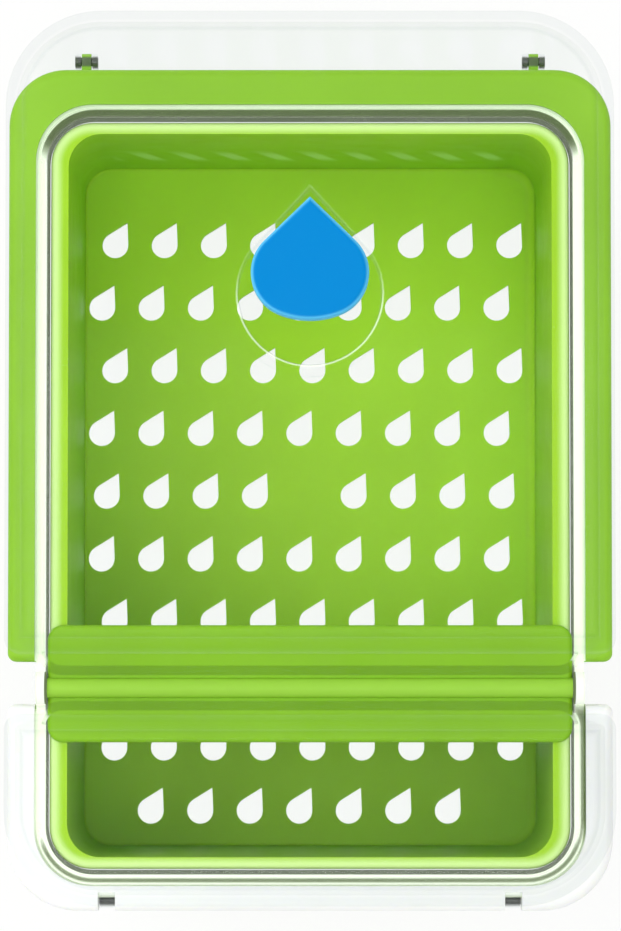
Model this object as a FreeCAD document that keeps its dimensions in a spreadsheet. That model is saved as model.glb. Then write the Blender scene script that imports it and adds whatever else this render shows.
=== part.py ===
"""Fresh herb keeper: a clear water tank with a perforated green basket, a bridge bar that splits
the basket in two, and two tall clear hoods that hinge open at the back and at the front.

Millimetres. X runs across, Y from the front to the back, Z up from the shelf. The origin is the
bottom centre of the whole keeper. Every sub-part is drawn about the tank's own centre and shares
one Placement, which brings the hinge lugs and rims to the middle of the origin.
"""

import FreeCAD, Part
import math
import os
import Sketcher
from FreeCAD import Vector

SIZES = (
    # the case as a whole
    ("rim_height", "70", "shelf to the tank's rim"),
    ("hood_height", "152", "tank's rim to the top of the hoods"),
    ("front_depth", "39", "inside of the tank's front wall to the middle of the gap between the hoods"),
    # tank
    ("cavity_width", "110.8", "inside of the tank at its rim, across"),
    ("cavity_length", "159.6", "inside of the tank at its rim, front to back"),
    ("cavity_corner", "9.8", "inside corner radius of the tank at its rim"),
    ("wall", "2.1", "tank wall"),
    ("tank_draft", "1.6", "how far each tank wall leans in from rim to base"),
    ("tank_floor", "2.2", "tank floor thickness"),
    ("tank_base_round", "3", "outside edge round under the tank"),
    ("foot_stand", "1.6", "how far the feet hold the tank off the shelf"),
    ("foot_sunk", "1.2", "depth of the feet in the tank floor"),
    ("foot_radius", "5", "foot pad"),
    ("foot_bevel", "0.6", "bevel of the foot pad's lower edge"),
    ("foot_inset", "9", "foot centre from the inside of the tank wall at the rim"),
    ("foot_fit", "0.05", "play of a foot in its recess"),
    ("ledge_out", "1.3", "how far the tank's ledge stands out of the wall"),
    ("ledge_thick", "2.2", "ledge thickness"),
    ("boss_width", "6.8", "round bosses on the rim between the hoods"),
    ("boss_rise", "5.4", "height of the bosses above the rim"),
    # basket and drain floor
    ("basket_side_gap", "0.65", "play between the basket's rim and the tank, at each side"),
    ("basket_end_gap", "1.05", "play between the basket's rim and the tank, at each end"),
    ("basket_corner_step", "1", "basket rim's outside corners under the tank's inside corners"),
    ("lip_side", "3.7", "width of the basket's rim along the sides"),
    ("lip_end", "2.45", "width of the basket's rim along the ends"),
    ("mouth_corner", "7", "basket inside corner radius at the rim"),
    ("basket_wall", "1.7", "basket wall"),
    ("basket_draft", "0.9", "how far each basket wall leans in from rim to floor"),
    ("lip_height", "3.2", "height of the basket's rim band"),
    ("lip_round", "1.1", "round of the rim band"),
    ("floor_height", "13", "shelf to the top of the drain floor"),
    ("floor_thick", "2", "drain floor"),
    ("floor_fit", "0.1", "play of the drain floor in the basket"),
    ("floor_seat", "0.8", "width of the seat under the drain floor"),
    ("seat_thick", "1.5", "thickness of that seat"),
    ("leg_span", "18", "length of each basket leg from the corner"),
    ("leg_gap", "0.1", "gap from basket legs to the tank floor"),
    ("hole_radius", "2.9", "round end of a drain hole"),
    ("hole_tip_x", "2.7", "tip of a drain hole, to the right of its round centre"),
    ("hole_tip_y", "5.1", "tip of a drain hole, behind its round centre"),
    ("row_end_margin", "6.15", "mean distance of a row's end holes from the floor's side"),
    ("back_row_margin", "17.1", "rearmost row from the floor's rear edge"),
    ("front_row_margin", "7.7", "foremost row from the floor's front edge"),
    ("shift_right", "0.5", "rows that stand to the right"),
    ("shift_left", "2.4", "rows that stand to the left"),
    ("shift_split", "1.3", "shift to the left of the row with the solid middle"),
    # bridge bar
    ("bar_rear", "13.2", "bar edge behind the divider line"),
    ("bar_front", "11.4", "bar edge in front of the divider line"),
    ("bar_end_gap", "0.3", "play between the bar's ends and the tank wall"),
    ("bar_thick", "2.2", "bar plate"),
    ("bar_seat_gap", "0.1", "gap between bar plate and basket rim"),
    ("bar_corner", "3.2", "corner radius of the bar"),
    ("bar_skirt", "6", "depth of the bar's skirts below the basket rim"),
    ("bar_skirt_wall", "1.6", "skirt thickness"),
    ("bar_inside_gap", "0.5", "play between the skirts and the basket wall"),
    ("ridge_radius", "2.1", "round ridge along the bar"),
    ("fin_wall", "1.8", "divider fin under the ridge"),
    ("fin_gap", "1.5", "gap from the divider fin to the drain floor"),
    # hoods
    ("hood_gap", "5.4", "gap between the two hoods"),
    ("hood_seat_gap", "0.2", "gap between a hood and the tank rim"),
    ("hood_wall", "2", "hood walls and top"),
    ("hood_draft", "2.7", "how far each hood wall leans in from rim to top"),
    ("hood_corner", "12", "outer hood corners at the rim"),
    ("hood_gap_corner", "5.5", "hood corners beside the gap"),
    ("hood_top_round", "4.3", "round of the hood's top edge"),
    ("tongue_out", "2.8", "tongue that holds the rim grip, out of the hood wall"),
    ("tongue_thick", "2", "thickness of that tongue"),
    ("tongue_fit", "0.05", "play of the tongue in the rim grip"),
    ("edge_ease", "0.3", "eased corners of the tongues and of the hoods' notches"),
    # rim grips
    ("grip_side", "6", "rim grip width along the sides"),
    ("grip_back", "7.8", "rear rim grip width along the back"),
    ("grip_front", "5.5", "front rim grip width along the front"),
    ("grip_drop", "5", "how far the grips reach below the tank rim"),
    ("grip_rise", "3.2", "how far the grips reach above the tank rim"),
    ("grip_play", "0.3", "gap between grip and walls"),
    ("grip_round", "1.8", "round of the grip's outer edges"),
    ("rear_grip_corner", "12", "outer corner radius of the rear grip"),
    ("front_grip_corner", "15", "outer corner radius of the front grip"),
    ("rear_arm_gap", "5.5", "end of the rear grip's arms, behind the divider line"),
    ("front_arm_gap", "3.4", "end of the front grip's arms, in front of the divider line"),
    # hinges
    ("pin_radius", "0.9", "hinge pins"),
    ("pin_fit", "0.05", "play of a pin in the turning knuckle"),
    ("pin_seat", "0.02", "play of a pin in its lugs"),
    ("knuckle_radius", "1.7", "lugs and knuckles"),
    ("knuckle_wide", "2", "width of the rear grip's knuckles"),
    ("knuckle_play", "0.2", "side gap between lug and knuckle"),
    ("lug_wide", "1.2", "width of each rear lug and of each front cheek"),
    ("front_lug_wide", "3.2", "width of the single lug of a front hinge"),
    ("rear_hinge_inset", "7.9", "rear hinges from the inside of the tank's side wall"),
    ("rear_hinge_out", "10.4", "rear hinge axis behind the tank wall"),
    ("front_hinge_inset", "12.8", "front hinges from the inside of the tank's side wall"),
    ("front_hinge_out", "3.5", "front hinge axis in front of the tank wall"),
    ("ledge_play", "0.2", "gap between ledge and grips"),
    # water plug in the rear hood
    ("well_radius", "12.9", "round end of the drop-shaped well"),
    ("well_y", "29.1", "centre of that round end, from the tank centre"),
    ("well_tip", "19", "tip of the well behind its round centre"),
    ("well_depth", "3.2", "depth of the well"),
    ("well_floor", "1.8", "floor of the well"),
    ("filler_radius", "5.6", "filler hole"),
    ("filler_back", "4.3", "filler hole behind the well's round centre"),
    ("collar_wall", "1.6", "wall of the filler collar"),
    ("collar_drop", "3", "filler collar below the well floor"),
    ("plug_width", "21.2", "drop-shaped plug head"),
    ("plug_length", "22.1", "plug head from tip to round end"),
    ("plug_shoulder", "8", "side rounds of the plug head"),
    ("plug_shoulder_y", "13.6", "centre of the side rounds, from the tip"),
    ("plug_tip_gap", "1.7", "gap between the plug's tip and the well's tip"),
    ("plug_head", "4.4", "height of the plug head"),
    ("plug_round", "1", "round of the plug head's top edge"),
    ("plug_stem", "4.5", "stem radius"),
    ("stem_length", "6.5", "stem below the plug head"),
    ("seal_radius", "5.5", "seal ring outside"),
    ("seal_thick", "2.4", "seal ring height"),
    ("seal_drop", "1.6", "seal ring below the plug head"),
    ("plug_gap", "0.1", "gap between plug head and well floor"),
)

# Rows of drain holes from the back: sideways shift, first column, holes in the row.
# The fifth row leaves its middle place solid.
TO_RIGHT = "Sizes.shift_right"
TO_LEFT = "-Sizes.shift_left"
SPLIT = "-Sizes.shift_split"
COLUMNS = 9
SIDE_COLUMNS = COLUMNS // 2
ROWS = 10
DRAIN_ROWS = (
    (0, TO_RIGHT, 0, COLUMNS),
    (1, TO_LEFT, 0, COLUMNS),
    (2, TO_RIGHT, 0, COLUMNS),
    (3, TO_LEFT, 0, COLUMNS),
    (4, SPLIT, 0, SIDE_COLUMNS),
    (4, SPLIT, SIDE_COLUMNS + 1, SIDE_COLUMNS),
    (5, TO_LEFT, 0, COLUMNS),
    (6, TO_RIGHT, 0, COLUMNS),
    (7, TO_LEFT, 0, COLUMNS),
    (8, TO_RIGHT, 0, COLUMNS),
    (9, TO_LEFT, 1, COLUMNS - 2),
)

# Heights and positions worked out from the sheet.
RIM = "Sizes.rim_height"
TANK_FLOOR_TOP = "Sizes.foot_stand + Sizes.tank_floor"
WALL_X = "Sizes.cavity_width / 2 + Sizes.wall"
WALL_Y = "Sizes.cavity_length / 2 + Sizes.wall"
CENTRE_Y = "(Sizes.grip_front - Sizes.rear_hinge_out - Sizes.knuckle_radius) / 2"
DIVIDER_Y = "(Sizes.front_depth - Sizes.cavity_length / 2)"
GRIP_BOTTOM = "Sizes.rim_height - Sizes.grip_drop"
LEDGE_TOP = f"{GRIP_BOTTOM} - Sizes.ledge_play"
HOOD_BOTTOM = "Sizes.rim_height + Sizes.hood_seat_gap"
HOOD_TOP = "Sizes.rim_height + Sizes.hood_height"
REAR_FACE = f"{DIVIDER_Y} + Sizes.hood_gap / 2"
FRONT_FACE = f"{DIVIDER_Y} - Sizes.hood_gap / 2"
BAR_BOTTOM = "Sizes.rim_height + Sizes.bar_seat_gap"
BAR_TOP = f"{BAR_BOTTOM} + Sizes.bar_thick"
FLOOR_BOTTOM = "Sizes.floor_height - Sizes.floor_thick"
BAND_X = "Sizes.cavity_width / 2 - Sizes.basket_side_gap"
BAND_Y = "Sizes.cavity_length / 2 - Sizes.basket_end_gap"
BAND_CORNER = "Sizes.cavity_corner - Sizes.basket_corner_step"
MOUTH_X = f"{BAND_X} - Sizes.lip_side"
MOUTH_Y = f"{BAND_Y} - Sizes.lip_end"
FLOOR_X = f"{MOUTH_X} - Sizes.basket_draft"
FLOOR_Y = f"{MOUTH_Y} - Sizes.basket_draft"
HOLE_PITCH = f"2 * ({FLOOR_X} - Sizes.row_end_margin) / {COLUMNS - 1}"
ROW_PITCH = f"(2 * ({FLOOR_Y}) - Sizes.back_row_margin - Sizes.front_row_margin) / {ROWS - 1}"
FLOOR_CORNER = "Sizes.mouth_corner - Sizes.basket_draft"
BASKET_FOOT = f"{TANK_FLOOR_TOP} + Sizes.leg_gap"
HOOD_TALL = "Sizes.hood_height - Sizes.hood_seat_gap"
TANK_LEAN = "atan(Sizes.tank_draft / (Sizes.rim_height - Sizes.foot_stand))"
BASKET_LEAN = "atan(Sizes.basket_draft / (Sizes.rim_height - Sizes.floor_height + Sizes.floor_thick))"
HOOD_LEAN = f"atan(Sizes.hood_draft / ({HOOD_TALL}))"
REAR_HINGE_X = "Sizes.cavity_width / 2 - Sizes.rear_hinge_inset"
FRONT_HINGE_X = "Sizes.cavity_width / 2 - Sizes.front_hinge_inset"
REAR_AXIS_Y = f"{WALL_Y} + Sizes.rear_hinge_out"
FRONT_AXIS_Y = f"-({WALL_Y} + Sizes.front_hinge_out)"
AXIS_Z = GRIP_BOTTOM
REAR_PIN_LENGTH = "2 * Sizes.lug_wide + Sizes.knuckle_wide + 2 * Sizes.knuckle_play"
FRONT_PIN_LENGTH = "2 * Sizes.lug_wide + Sizes.front_lug_wide"
WELL_BOTTOM = f"{HOOD_TOP} - Sizes.well_depth"
PLUG_BOTTOM = f"{WELL_BOTTOM} + Sizes.plug_gap"
PLUG_TIP = "Sizes.well_y + Sizes.well_tip - Sizes.plug_tip_gap"
FILLER_Y = "Sizes.well_y + Sizes.filler_back"
EDGE_TOLERANCE = 0.01
SIDES = (("left", "-"), ("right", ""))

doc = FreeCAD.newDocument("HerbKeeper")
sheet = doc.addObject("Spreadsheet::Sheet", "Sizes")
for row, (alias, number, meaning) in enumerate(SIZES, start=1):
    sheet.set(f"A{row}", meaning)
    sheet.set(f"B{row}", number)
    sheet.setAlias(f"B{row}", alias)
doc.recompute()
sub_parts = []
cuts = []


# ---------------------------------------------------------------- helpers


def value(expression):
    """The number that an expression on the sheet gives now."""
    return float(sheet.evalExpression(expression))


def new_body(label):
    """A body drawn about the tank centre and shifted with all the others."""
    body = doc.addObject("PartDesign::Body", label)
    body.Label = label
    body.setExpression("Placement.Base.y", CENTRE_Y)
    sub_parts.append(body)
    return body


def origin_feature(body, role):
    """One of the body's own origin planes or axes, found by its role."""
    return next(item for item in body.Origin.OriginFeatures if item.Role == role)


def new_sketch(body, name, offset, role="XY_Plane"):
    """A sketch on one of the body's origin planes, moved along the plane's normal."""
    sketch = body.newObject("Sketcher::SketchObject", name)
    sketch.AttachmentSupport = [(origin_feature(body, role), "")]
    sketch.MapMode = "FlatFace"
    sketch.setExpression("AttachmentOffset.Base.z", offset)
    return sketch


def dimension(sketch, kind, places, expression):
    """A dimension whose datum follows the sheet."""
    constraint = Sketcher.Constraint(kind, *places, value(expression))
    index = sketch.addConstraint(constraint)
    sketch.setExpression(f"Constraints[{index}]", expression)


def locate(sketch, axis, geometry, point, expression):
    """Holds one coordinate of a point, on either side of the sketch origin."""
    number = value(expression)
    if abs(number) < EDGE_TOLERANCE:
        across = -2 if axis == "X" else -1
        sketch.addConstraint(Sketcher.Constraint("PointOnObject", geometry, point, across))
    elif number > 0:
        dimension(sketch, f"Distance{axis}", (-1, 1, geometry, point), expression)
    else:
        dimension(sketch, f"Distance{axis}", (geometry, point, -1, 1), f"-({expression})")


def line(x0, y0, x1, y1):
    """A straight sketch edge."""
    return Part.LineSegment(Vector(x0, y0, 0), Vector(x1, y1, 0))


def arc(x, y, radius, start, end):
    """A round sketch edge, counter-clockwise between two angles in degrees."""
    circle = Part.Circle(Vector(x, y, 0), Vector(0, 0, 1), radius)
    return Part.ArcOfCircle(circle, math.radians(start), math.radians(end))


def rounded_box(sketch, half_width, front, back, front_corner, back_corner):
    """A rectangle with round corners, even about the Y axis, counter-clockwise from its front."""
    x = value(half_width)
    y0 = value(front)
    y1 = value(back)
    rf = value(front_corner)
    rb = value(back_corner)
    edges = [
        line(-x + rf, y0, x - rf, y0),
        arc(x - rf, y0 + rf, rf, -90, 0),
        line(x, y0 + rf, x, y1 - rb),
        arc(x - rb, y1 - rb, rb, 0, 90),
        line(x - rb, y1, -x + rb, y1),
        arc(-x + rb, y1 - rb, rb, 90, 180),
        line(-x, y1 - rb, -x, y0 + rf),
        arc(-x + rf, y0 + rf, rf, 180, 270),
    ]
    first = sketch.GeometryCount
    sketch.addGeometry(edges, False)
    rules = []
    for index in range(8):
        follower = first + (index + 1) % 8
        rules.append(Sketcher.Constraint("Tangent", first + index, 2, follower, 1))
    rules.append(Sketcher.Constraint("Horizontal", first))
    rules.append(Sketcher.Constraint("Horizontal", first + 4))
    rules.append(Sketcher.Constraint("Vertical", first + 2))
    rules.append(Sketcher.Constraint("Vertical", first + 6))
    rules.append(Sketcher.Constraint("Equal", first + 1, first + 7))
    rules.append(Sketcher.Constraint("Equal", first + 3, first + 5))
    sketch.addConstraint(rules)
    dimension(sketch, "Radius", (first + 1,), front_corner)
    dimension(sketch, "Radius", (first + 3,), back_corner)
    locate(sketch, "X", first + 2, 1, half_width)
    locate(sketch, "X", first + 6, 1, f"-({half_width})")
    locate(sketch, "Y", first, 1, front)
    locate(sketch, "Y", first + 4, 1, back)


def box_sketch(body, name, height, half_width, front, back, front_corner, back_corner=None):
    """A level sketch that holds one rounded rectangle."""
    sketch = new_sketch(body, name, height)
    rounded_box(sketch, half_width, front, back, front_corner, back_corner or front_corner)
    return sketch


def polygon(sketch, corners):
    """A closed outline through corners given as pairs of expressions."""
    points = [(value(x), value(y)) for x, y in corners]
    count = len(points)
    first = sketch.GeometryCount
    for index, start in enumerate(points):
        end = points[(index + 1) % count]
        sketch.addGeometry(line(*start, *end), False)
    for index in range(count):
        follower = first + (index + 1) % count
        sketch.addConstraint(Sketcher.Constraint("Coincident", first + index, 2, follower, 1))
    for index, (x, y) in enumerate(corners):
        locate(sketch, "X", first + index, 1, x)
        locate(sketch, "Y", first + index, 1, y)


def ring(sketch, x, y, radius):
    """A full circle."""
    index = sketch.addGeometry(
        Part.Circle(Vector(value(x), value(y), 0), Vector(0, 0, 1), value(radius)), False
    )
    dimension(sketch, "Radius", (index,), radius)
    locate(sketch, "X", index, 3, x)
    locate(sketch, "Y", index, 3, y)


def well_drop(sketch, y, radius, tip):
    """A round end with two straight flanks that meet in a tip behind it."""
    cy = value(y)
    r = value(radius)
    reach = value(tip)
    lean = math.degrees(math.asin(r / reach))
    touch_x = r * math.cos(math.radians(lean))
    touch_y = cy + r * math.sin(math.radians(lean))
    edges = [
        arc(0, cy, r, 180 - lean, 360 + lean),
        line(touch_x, touch_y, 0, cy + reach),
        line(0, cy + reach, -touch_x, touch_y),
    ]
    sketch.addGeometry(edges, False)
    sketch.addConstraint(Sketcher.Constraint("Tangent", 0, 2, 1, 1))
    sketch.addConstraint(Sketcher.Constraint("Coincident", 1, 2, 2, 1))
    sketch.addConstraint(Sketcher.Constraint("Tangent", 2, 2, 0, 1))
    sketch.addConstraint(Sketcher.Constraint("PointOnObject", 0, 3, -2))
    sketch.addConstraint(Sketcher.Constraint("PointOnObject", 1, 2, -2))
    dimension(sketch, "Radius", (0,), radius)
    locate(sketch, "Y", 0, 3, y)
    dimension(sketch, "DistanceY", (0, 3, 1, 2), tip)


def pad(body, name, sketch, length, both_ways=False, reverse=False, lean=None):
    """Material along the sketch normal, leaning in as it goes where a draft angle is given."""
    feature = body.newObject("PartDesign::Pad", name)
    feature.Profile = sketch
    feature.SideType = "Symmetric" if both_ways else "One side"
    feature.Reversed = reverse
    feature.setExpression("Length", length)
    if lean:
        feature.setExpression("TaperAngle", f"-{lean}")
    return feature


def pocket(body, name, sketch, length, both_ways=False, reverse=False, lean=None):
    """A cut against the sketch normal, or along it when reversed; a draft narrows it with depth."""
    feature = body.newObject("PartDesign::Pocket", name)
    feature.Profile = sketch
    feature.SideType = "Symmetric" if both_ways else "One side"
    feature.Reversed = reverse
    feature.setExpression("Length", length)
    if lean:
        feature.setExpression("TaperAngle", f"-{lean}")
    cuts.append(feature)
    return feature


def mirror(body, name, features):
    """The same features again on the other side of the YZ plane."""
    feature = body.newObject("PartDesign::Mirrored", name)
    feature.Originals = features
    feature.MirrorPlane = (origin_feature(body, "YZ_Plane"), [""])
    body.Tip = feature
    return feature


def round_edges(body, name, base, test, radius):
    """A fillet on every edge of the last feature that passes the test."""
    doc.recompute()
    names = [f"Edge{i}" for i, edge in enumerate(base.Shape.Edges, start=1) if test(edge)]
    if not names:
        raise RuntimeError(f"{name} found no edge")
    feature = body.newObject("PartDesign::Fillet", name)
    feature.Base = (base, names)
    feature.setExpression("Radius", radius)
    return feature


def level_at(expression):
    """A test for level edges at one height."""
    height = value(expression)

    def test(edge):
        box = edge.BoundBox
        return abs(box.ZMin - height) < EDGE_TOLERANCE and abs(box.ZMax - height) < EDGE_TOLERANCE

    return test


# ---------------------------------------------------------------- hinges


def eye(body, name, start_x, width, axis_y):
    """The round end of a lug or knuckle, about the hinge axis."""
    sketch = new_sketch(body, f"{name}_eye_outline", start_x, "YZ_Plane")
    ring(sketch, axis_y, AXIS_Z, "Sizes.knuckle_radius")
    return pad(body, f"{name}_eye", sketch, width)


def arm(body, name, start_x, width, ends, heights):
    """The straight arm that carries an eye, between two places along Y and two heights."""
    sketch = new_sketch(body, f"{name}_arm_outline", start_x, "YZ_Plane")
    rear, front = sorted(ends, key=value, reverse=True)
    low, high = heights
    polygon(sketch, [(front, low), (rear, low), (rear, high), (front, high)])
    return pad(body, f"{name}_arm", sketch, width)


def pin_hole(body, name, start_x, depth, axis_y, radius):
    """A round hole along X about a hinge axis, from start_x towards the outside."""
    sketch = new_sketch(body, f"{name}_outline", start_x, "YZ_Plane")
    ring(sketch, axis_y, AXIS_Z, radius)
    return pocket(body, name, sketch, depth, reverse=True)


def beside(hinge_x, middle_wide):
    """Where the inner and the outer of two lugs begin along X, beside a hinge's middle piece."""
    inner = f"{hinge_x} - {middle_wide} / 2 - Sizes.knuckle_play - Sizes.lug_wide"
    outer = f"{hinge_x} + {middle_wide} / 2 + Sizes.knuckle_play"
    return (("inner", inner), ("outer", outer))


def rear_forks(body):
    """Two lugs on the tank wall at each rear hinge, with a gap for the knuckle and a pin hole."""
    features = []
    heights = (f"{AXIS_Z} - Sizes.knuckle_radius", LEDGE_TOP)
    for place, start in beside(REAR_HINGE_X, "Sizes.knuckle_wide"):
        name = f"rear_{place}_lug"
        features.append(arm(body, name, start, "Sizes.lug_wide", (WALL_Y, REAR_AXIS_Y), heights))
        features.append(eye(body, name, start, "Sizes.lug_wide", REAR_AXIS_Y))
    first = f"{REAR_HINGE_X} - ({REAR_PIN_LENGTH}) / 2"
    bore = "Sizes.pin_radius + Sizes.pin_seat"
    features.append(pin_hole(body, "rear_pin_hole", first, REAR_PIN_LENGTH, REAR_AXIS_Y, bore))
    mirror(body, "rear_lug_pairs", features)


def front_lugs(body):
    """One wide lug on the tank wall at each front hinge, which holds the pin."""
    wide = "Sizes.front_lug_wide"
    start = f"{FRONT_HINGE_X} - {wide} / 2"
    heights = (f"{AXIS_Z} - Sizes.knuckle_radius", LEDGE_TOP)
    bore = "Sizes.pin_radius + Sizes.pin_seat"
    features = [
        arm(body, "front_lug", start, wide, (f"-({WALL_Y})", FRONT_AXIS_Y), heights),
        eye(body, "front_lug", start, wide, FRONT_AXIS_Y),
        pin_hole(body, "front_pin_hole", start, wide, FRONT_AXIS_Y, bore),
    ]
    mirror(body, "front_lug_pair", features)


def hinge_pin(label, side, hinge_x, axis_y, length):
    """A plain steel pin held by the tank's lugs."""
    pin = doc.addObject("Part::Cylinder", label)
    pin.Label = label
    pin.setExpression("Radius", "Sizes.pin_radius")
    pin.setExpression("Height", length)
    pin.Placement.Rotation = FreeCAD.Rotation(Vector(0, 1, 0), 90)
    pin.setExpression("Placement.Base.x", f"{side}({hinge_x}) - ({length}) / 2")
    pin.setExpression("Placement.Base.y", f"{axis_y} + {CENTRE_Y}")
    pin.setExpression("Placement.Base.z", AXIS_Z)
    sub_parts.append(pin)


# ---------------------------------------------------------------- tank and feet


def make_tank():
    """Open-topped drafted tank with an outside ledge, rim bosses, hinge lugs and foot recesses."""
    body = new_body("base_tank")
    outer_corner = "Sizes.cavity_corner + Sizes.wall"
    rim = box_sketch(body, "tank_rim", RIM, WALL_X, f"-({WALL_Y})", WALL_Y, outer_corner)
    tall = "Sizes.rim_height - Sizes.foot_stand"
    block = pad(body, "tank_block", rim, tall, reverse=True, lean=TANK_LEAN)
    base_edges = level_at("Sizes.foot_stand")
    round_edges(body, "tank_base_round", block, base_edges, "Sizes.tank_base_round")
    ledge_x = f"{WALL_X} + Sizes.ledge_out"
    ledge_y = f"{WALL_Y} + Sizes.ledge_out"
    ledge_front = f"-({WALL_Y} + Sizes.ledge_out)"
    ledge_corner = f"{outer_corner} + Sizes.ledge_out"
    ledge = box_sketch(body, "ledge_outline", LEDGE_TOP, ledge_x, ledge_front, ledge_y, ledge_corner)
    pad(body, "ledge", ledge, "Sizes.ledge_thick", reverse=True)

    boss = new_sketch(body, "boss_side", "Sizes.cavity_width / 2", "YZ_Plane")
    boss_outline(boss)
    boss_pad = pad(body, "rim_boss", boss, "Sizes.wall")
    mirror(body, "rim_boss_pair", [boss_pad])

    rear_forks(body)
    front_lugs(body)

    half_x = "Sizes.cavity_width / 2"
    half_y = "Sizes.cavity_length / 2"
    mouth = box_sketch(body, "mouth", RIM, half_x, f"-({half_y})", half_y, "Sizes.cavity_corner")
    deep = f"{RIM} - ({TANK_FLOOR_TOP})"
    pocket(body, "tank_cavity", mouth, deep, lean=TANK_LEAN)
    feet_holes(body)


def boss_outline(sketch):
    """A round-topped tongue that stands on the rim between the hoods."""
    y = value(DIVIDER_Y)
    half = value("Sizes.boss_width / 2")
    foot = value(f"{RIM} - Sizes.wall")
    shoulder = value(f"{RIM} + Sizes.boss_rise - Sizes.boss_width / 2")
    edges = [
        arc(y, shoulder, half, 0, 180),
        line(y - half, shoulder, y - half, foot),
        line(y - half, foot, y + half, foot),
        line(y + half, foot, y + half, shoulder),
    ]
    sketch.addGeometry(edges)
    sketch.addConstraint(Sketcher.Constraint("Tangent", 0, 2, 1, 1))
    sketch.addConstraint(Sketcher.Constraint("Coincident", 1, 2, 2, 1))
    sketch.addConstraint(Sketcher.Constraint("Coincident", 2, 2, 3, 1))
    sketch.addConstraint(Sketcher.Constraint("Tangent", 3, 2, 0, 1))
    sketch.addConstraint(Sketcher.Constraint("Horizontal", 2))
    sketch.addConstraint(Sketcher.Constraint("Vertical", 3))
    dimension(sketch, "Radius", (0,), "Sizes.boss_width / 2")
    locate(sketch, "X", 0, 3, DIVIDER_Y)
    locate(sketch, "Y", 0, 3, f"{RIM} + Sizes.boss_rise - Sizes.boss_width / 2")
    locate(sketch, "Y", 2, 1, f"{RIM} - Sizes.wall")


def foot_places():
    """Node name and centre of each foot, as expressions."""
    x = "(Sizes.cavity_width / 2 - Sizes.foot_inset)"
    y = "(Sizes.cavity_length / 2 - Sizes.foot_inset)"
    places = []
    for end, sign in (("front", "-"), ("rear", "")):
        for side, hand in SIDES:
            places.append((f"foot_{end}_{side}", f"{hand}{x}", f"{sign}{y}"))
    return places


def feet_holes(body):
    """Four round recesses in the underside, one for each foot."""
    sketch = new_sketch(body, "foot_recess_outline", "Sizes.foot_stand")
    for _, x, y in foot_places():
        ring(sketch, x, y, "Sizes.foot_radius + Sizes.foot_fit")
    pocket(body, "foot_recesses", sketch, "Sizes.foot_sunk", reverse=True)


def make_feet():
    """Soft round pads, turned in profile, with a bevelled lower edge."""
    height = "Sizes.foot_stand + Sizes.foot_sunk"
    radius = "Sizes.foot_radius"
    bevel = "Sizes.foot_bevel"
    for label, x, y in foot_places():
        body = new_body(label)
        body.setExpression("Placement.Base.x", x)
        body.setExpression("Placement.Base.y", f"{y} + {CENTRE_Y}")
        sketch = new_sketch(body, f"{label}_profile", "0", "XZ_Plane")
        corners = [
            ("0", "0"),
            (f"{radius} - {bevel}", "0"),
            (radius, bevel),
            (radius, height),
            ("0", height),
        ]
        polygon(sketch, corners)
        turned = body.newObject("PartDesign::Revolution", f"{label}_turned")
        turned.Profile = sketch
        turned.ReferenceAxis = (origin_feature(body, "Z_Axis"), [""])
        turned.Angle = 360


# ---------------------------------------------------------------- basket


def make_basket():
    """Drafted walls with a rim band, a seat for the drain floor and four corner legs."""
    body = new_body("basket_shell")
    wall = "Sizes.basket_wall"
    top_x = f"{MOUTH_X} + {wall}"
    top_y = f"{MOUTH_Y} + {wall}"
    top_corner = f"Sizes.mouth_corner + {wall}"
    top = box_sketch(body, "wall_top", RIM, top_x, f"-({top_y})", top_y, top_corner)
    pad(body, "walls", top, f"{RIM} - ({BASKET_FOOT})", reverse=True, lean=BASKET_LEAN)
    outline = box_sketch(body, "band_outline", RIM, BAND_X, f"-({BAND_Y})", BAND_Y, BAND_CORNER)
    band = pad(body, "rim_band", outline, "Sizes.lip_height", reverse=True)
    round_edges(body, "rim_band_round", band, level_at(RIM), "Sizes.lip_round")

    mouth_corner = "Sizes.mouth_corner"
    mouth = box_sketch(body, "mouth", RIM, MOUTH_X, f"-({MOUTH_Y})", MOUTH_Y, mouth_corner)
    pocket(body, "basket_hollow", mouth, f"{RIM} - ({FLOOR_BOTTOM})", lean=BASKET_LEAN)
    open_x = f"{FLOOR_X} - Sizes.floor_seat"
    open_y = f"{FLOOR_Y} - Sizes.floor_seat"
    open_corner = f"{FLOOR_CORNER} - Sizes.floor_seat"
    through = box_sketch(
        body, "seat_opening", FLOOR_BOTTOM, open_x, f"-({open_y})", open_y, open_corner
    )
    pocket(body, "below_the_seat", through, FLOOR_BOTTOM)
    leg_windows(body)


def leg_windows(body):
    """Water passes under the seat through one window in each wall, which leaves corner legs."""
    top = f"{FLOOR_BOTTOM} - Sizes.seat_thick"
    below = f"{BASKET_FOOT} - Sizes.seat_thick"
    for name, role, half in (
        ("end_windows", "XZ_Plane", f"{FLOOR_X} - Sizes.leg_span"),
        ("side_windows", "YZ_Plane", f"{FLOOR_Y} - Sizes.leg_span"),
    ):
        sketch = new_sketch(body, f"{name}_outline", "0", role)
        corners = [(f"-({half})", below), (half, below), (half, top), (f"-({half})", top)]
        polygon(sketch, corners)
        pocket(body, name, sketch, "2 * Sizes.cavity_length", both_ways=True)


def make_drain_floor():
    """A plate with staggered rows of drop-shaped holes, each row one hole repeated across."""
    body = new_body("drain_floor")
    x = f"{FLOOR_X} - Sizes.floor_fit"
    y = f"{FLOOR_Y} - Sizes.floor_fit"
    corner = f"{FLOOR_CORNER} - Sizes.floor_fit"
    outline = box_sketch(body, "floor_outline", FLOOR_BOTTOM, x, f"-({y})", y, corner)
    pad(body, "floor_plate", outline, "Sizes.floor_thick")
    for index, (row, shift, first, count) in enumerate(DRAIN_ROWS):
        hole_row(body, index, row, shift, first, count)


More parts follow.
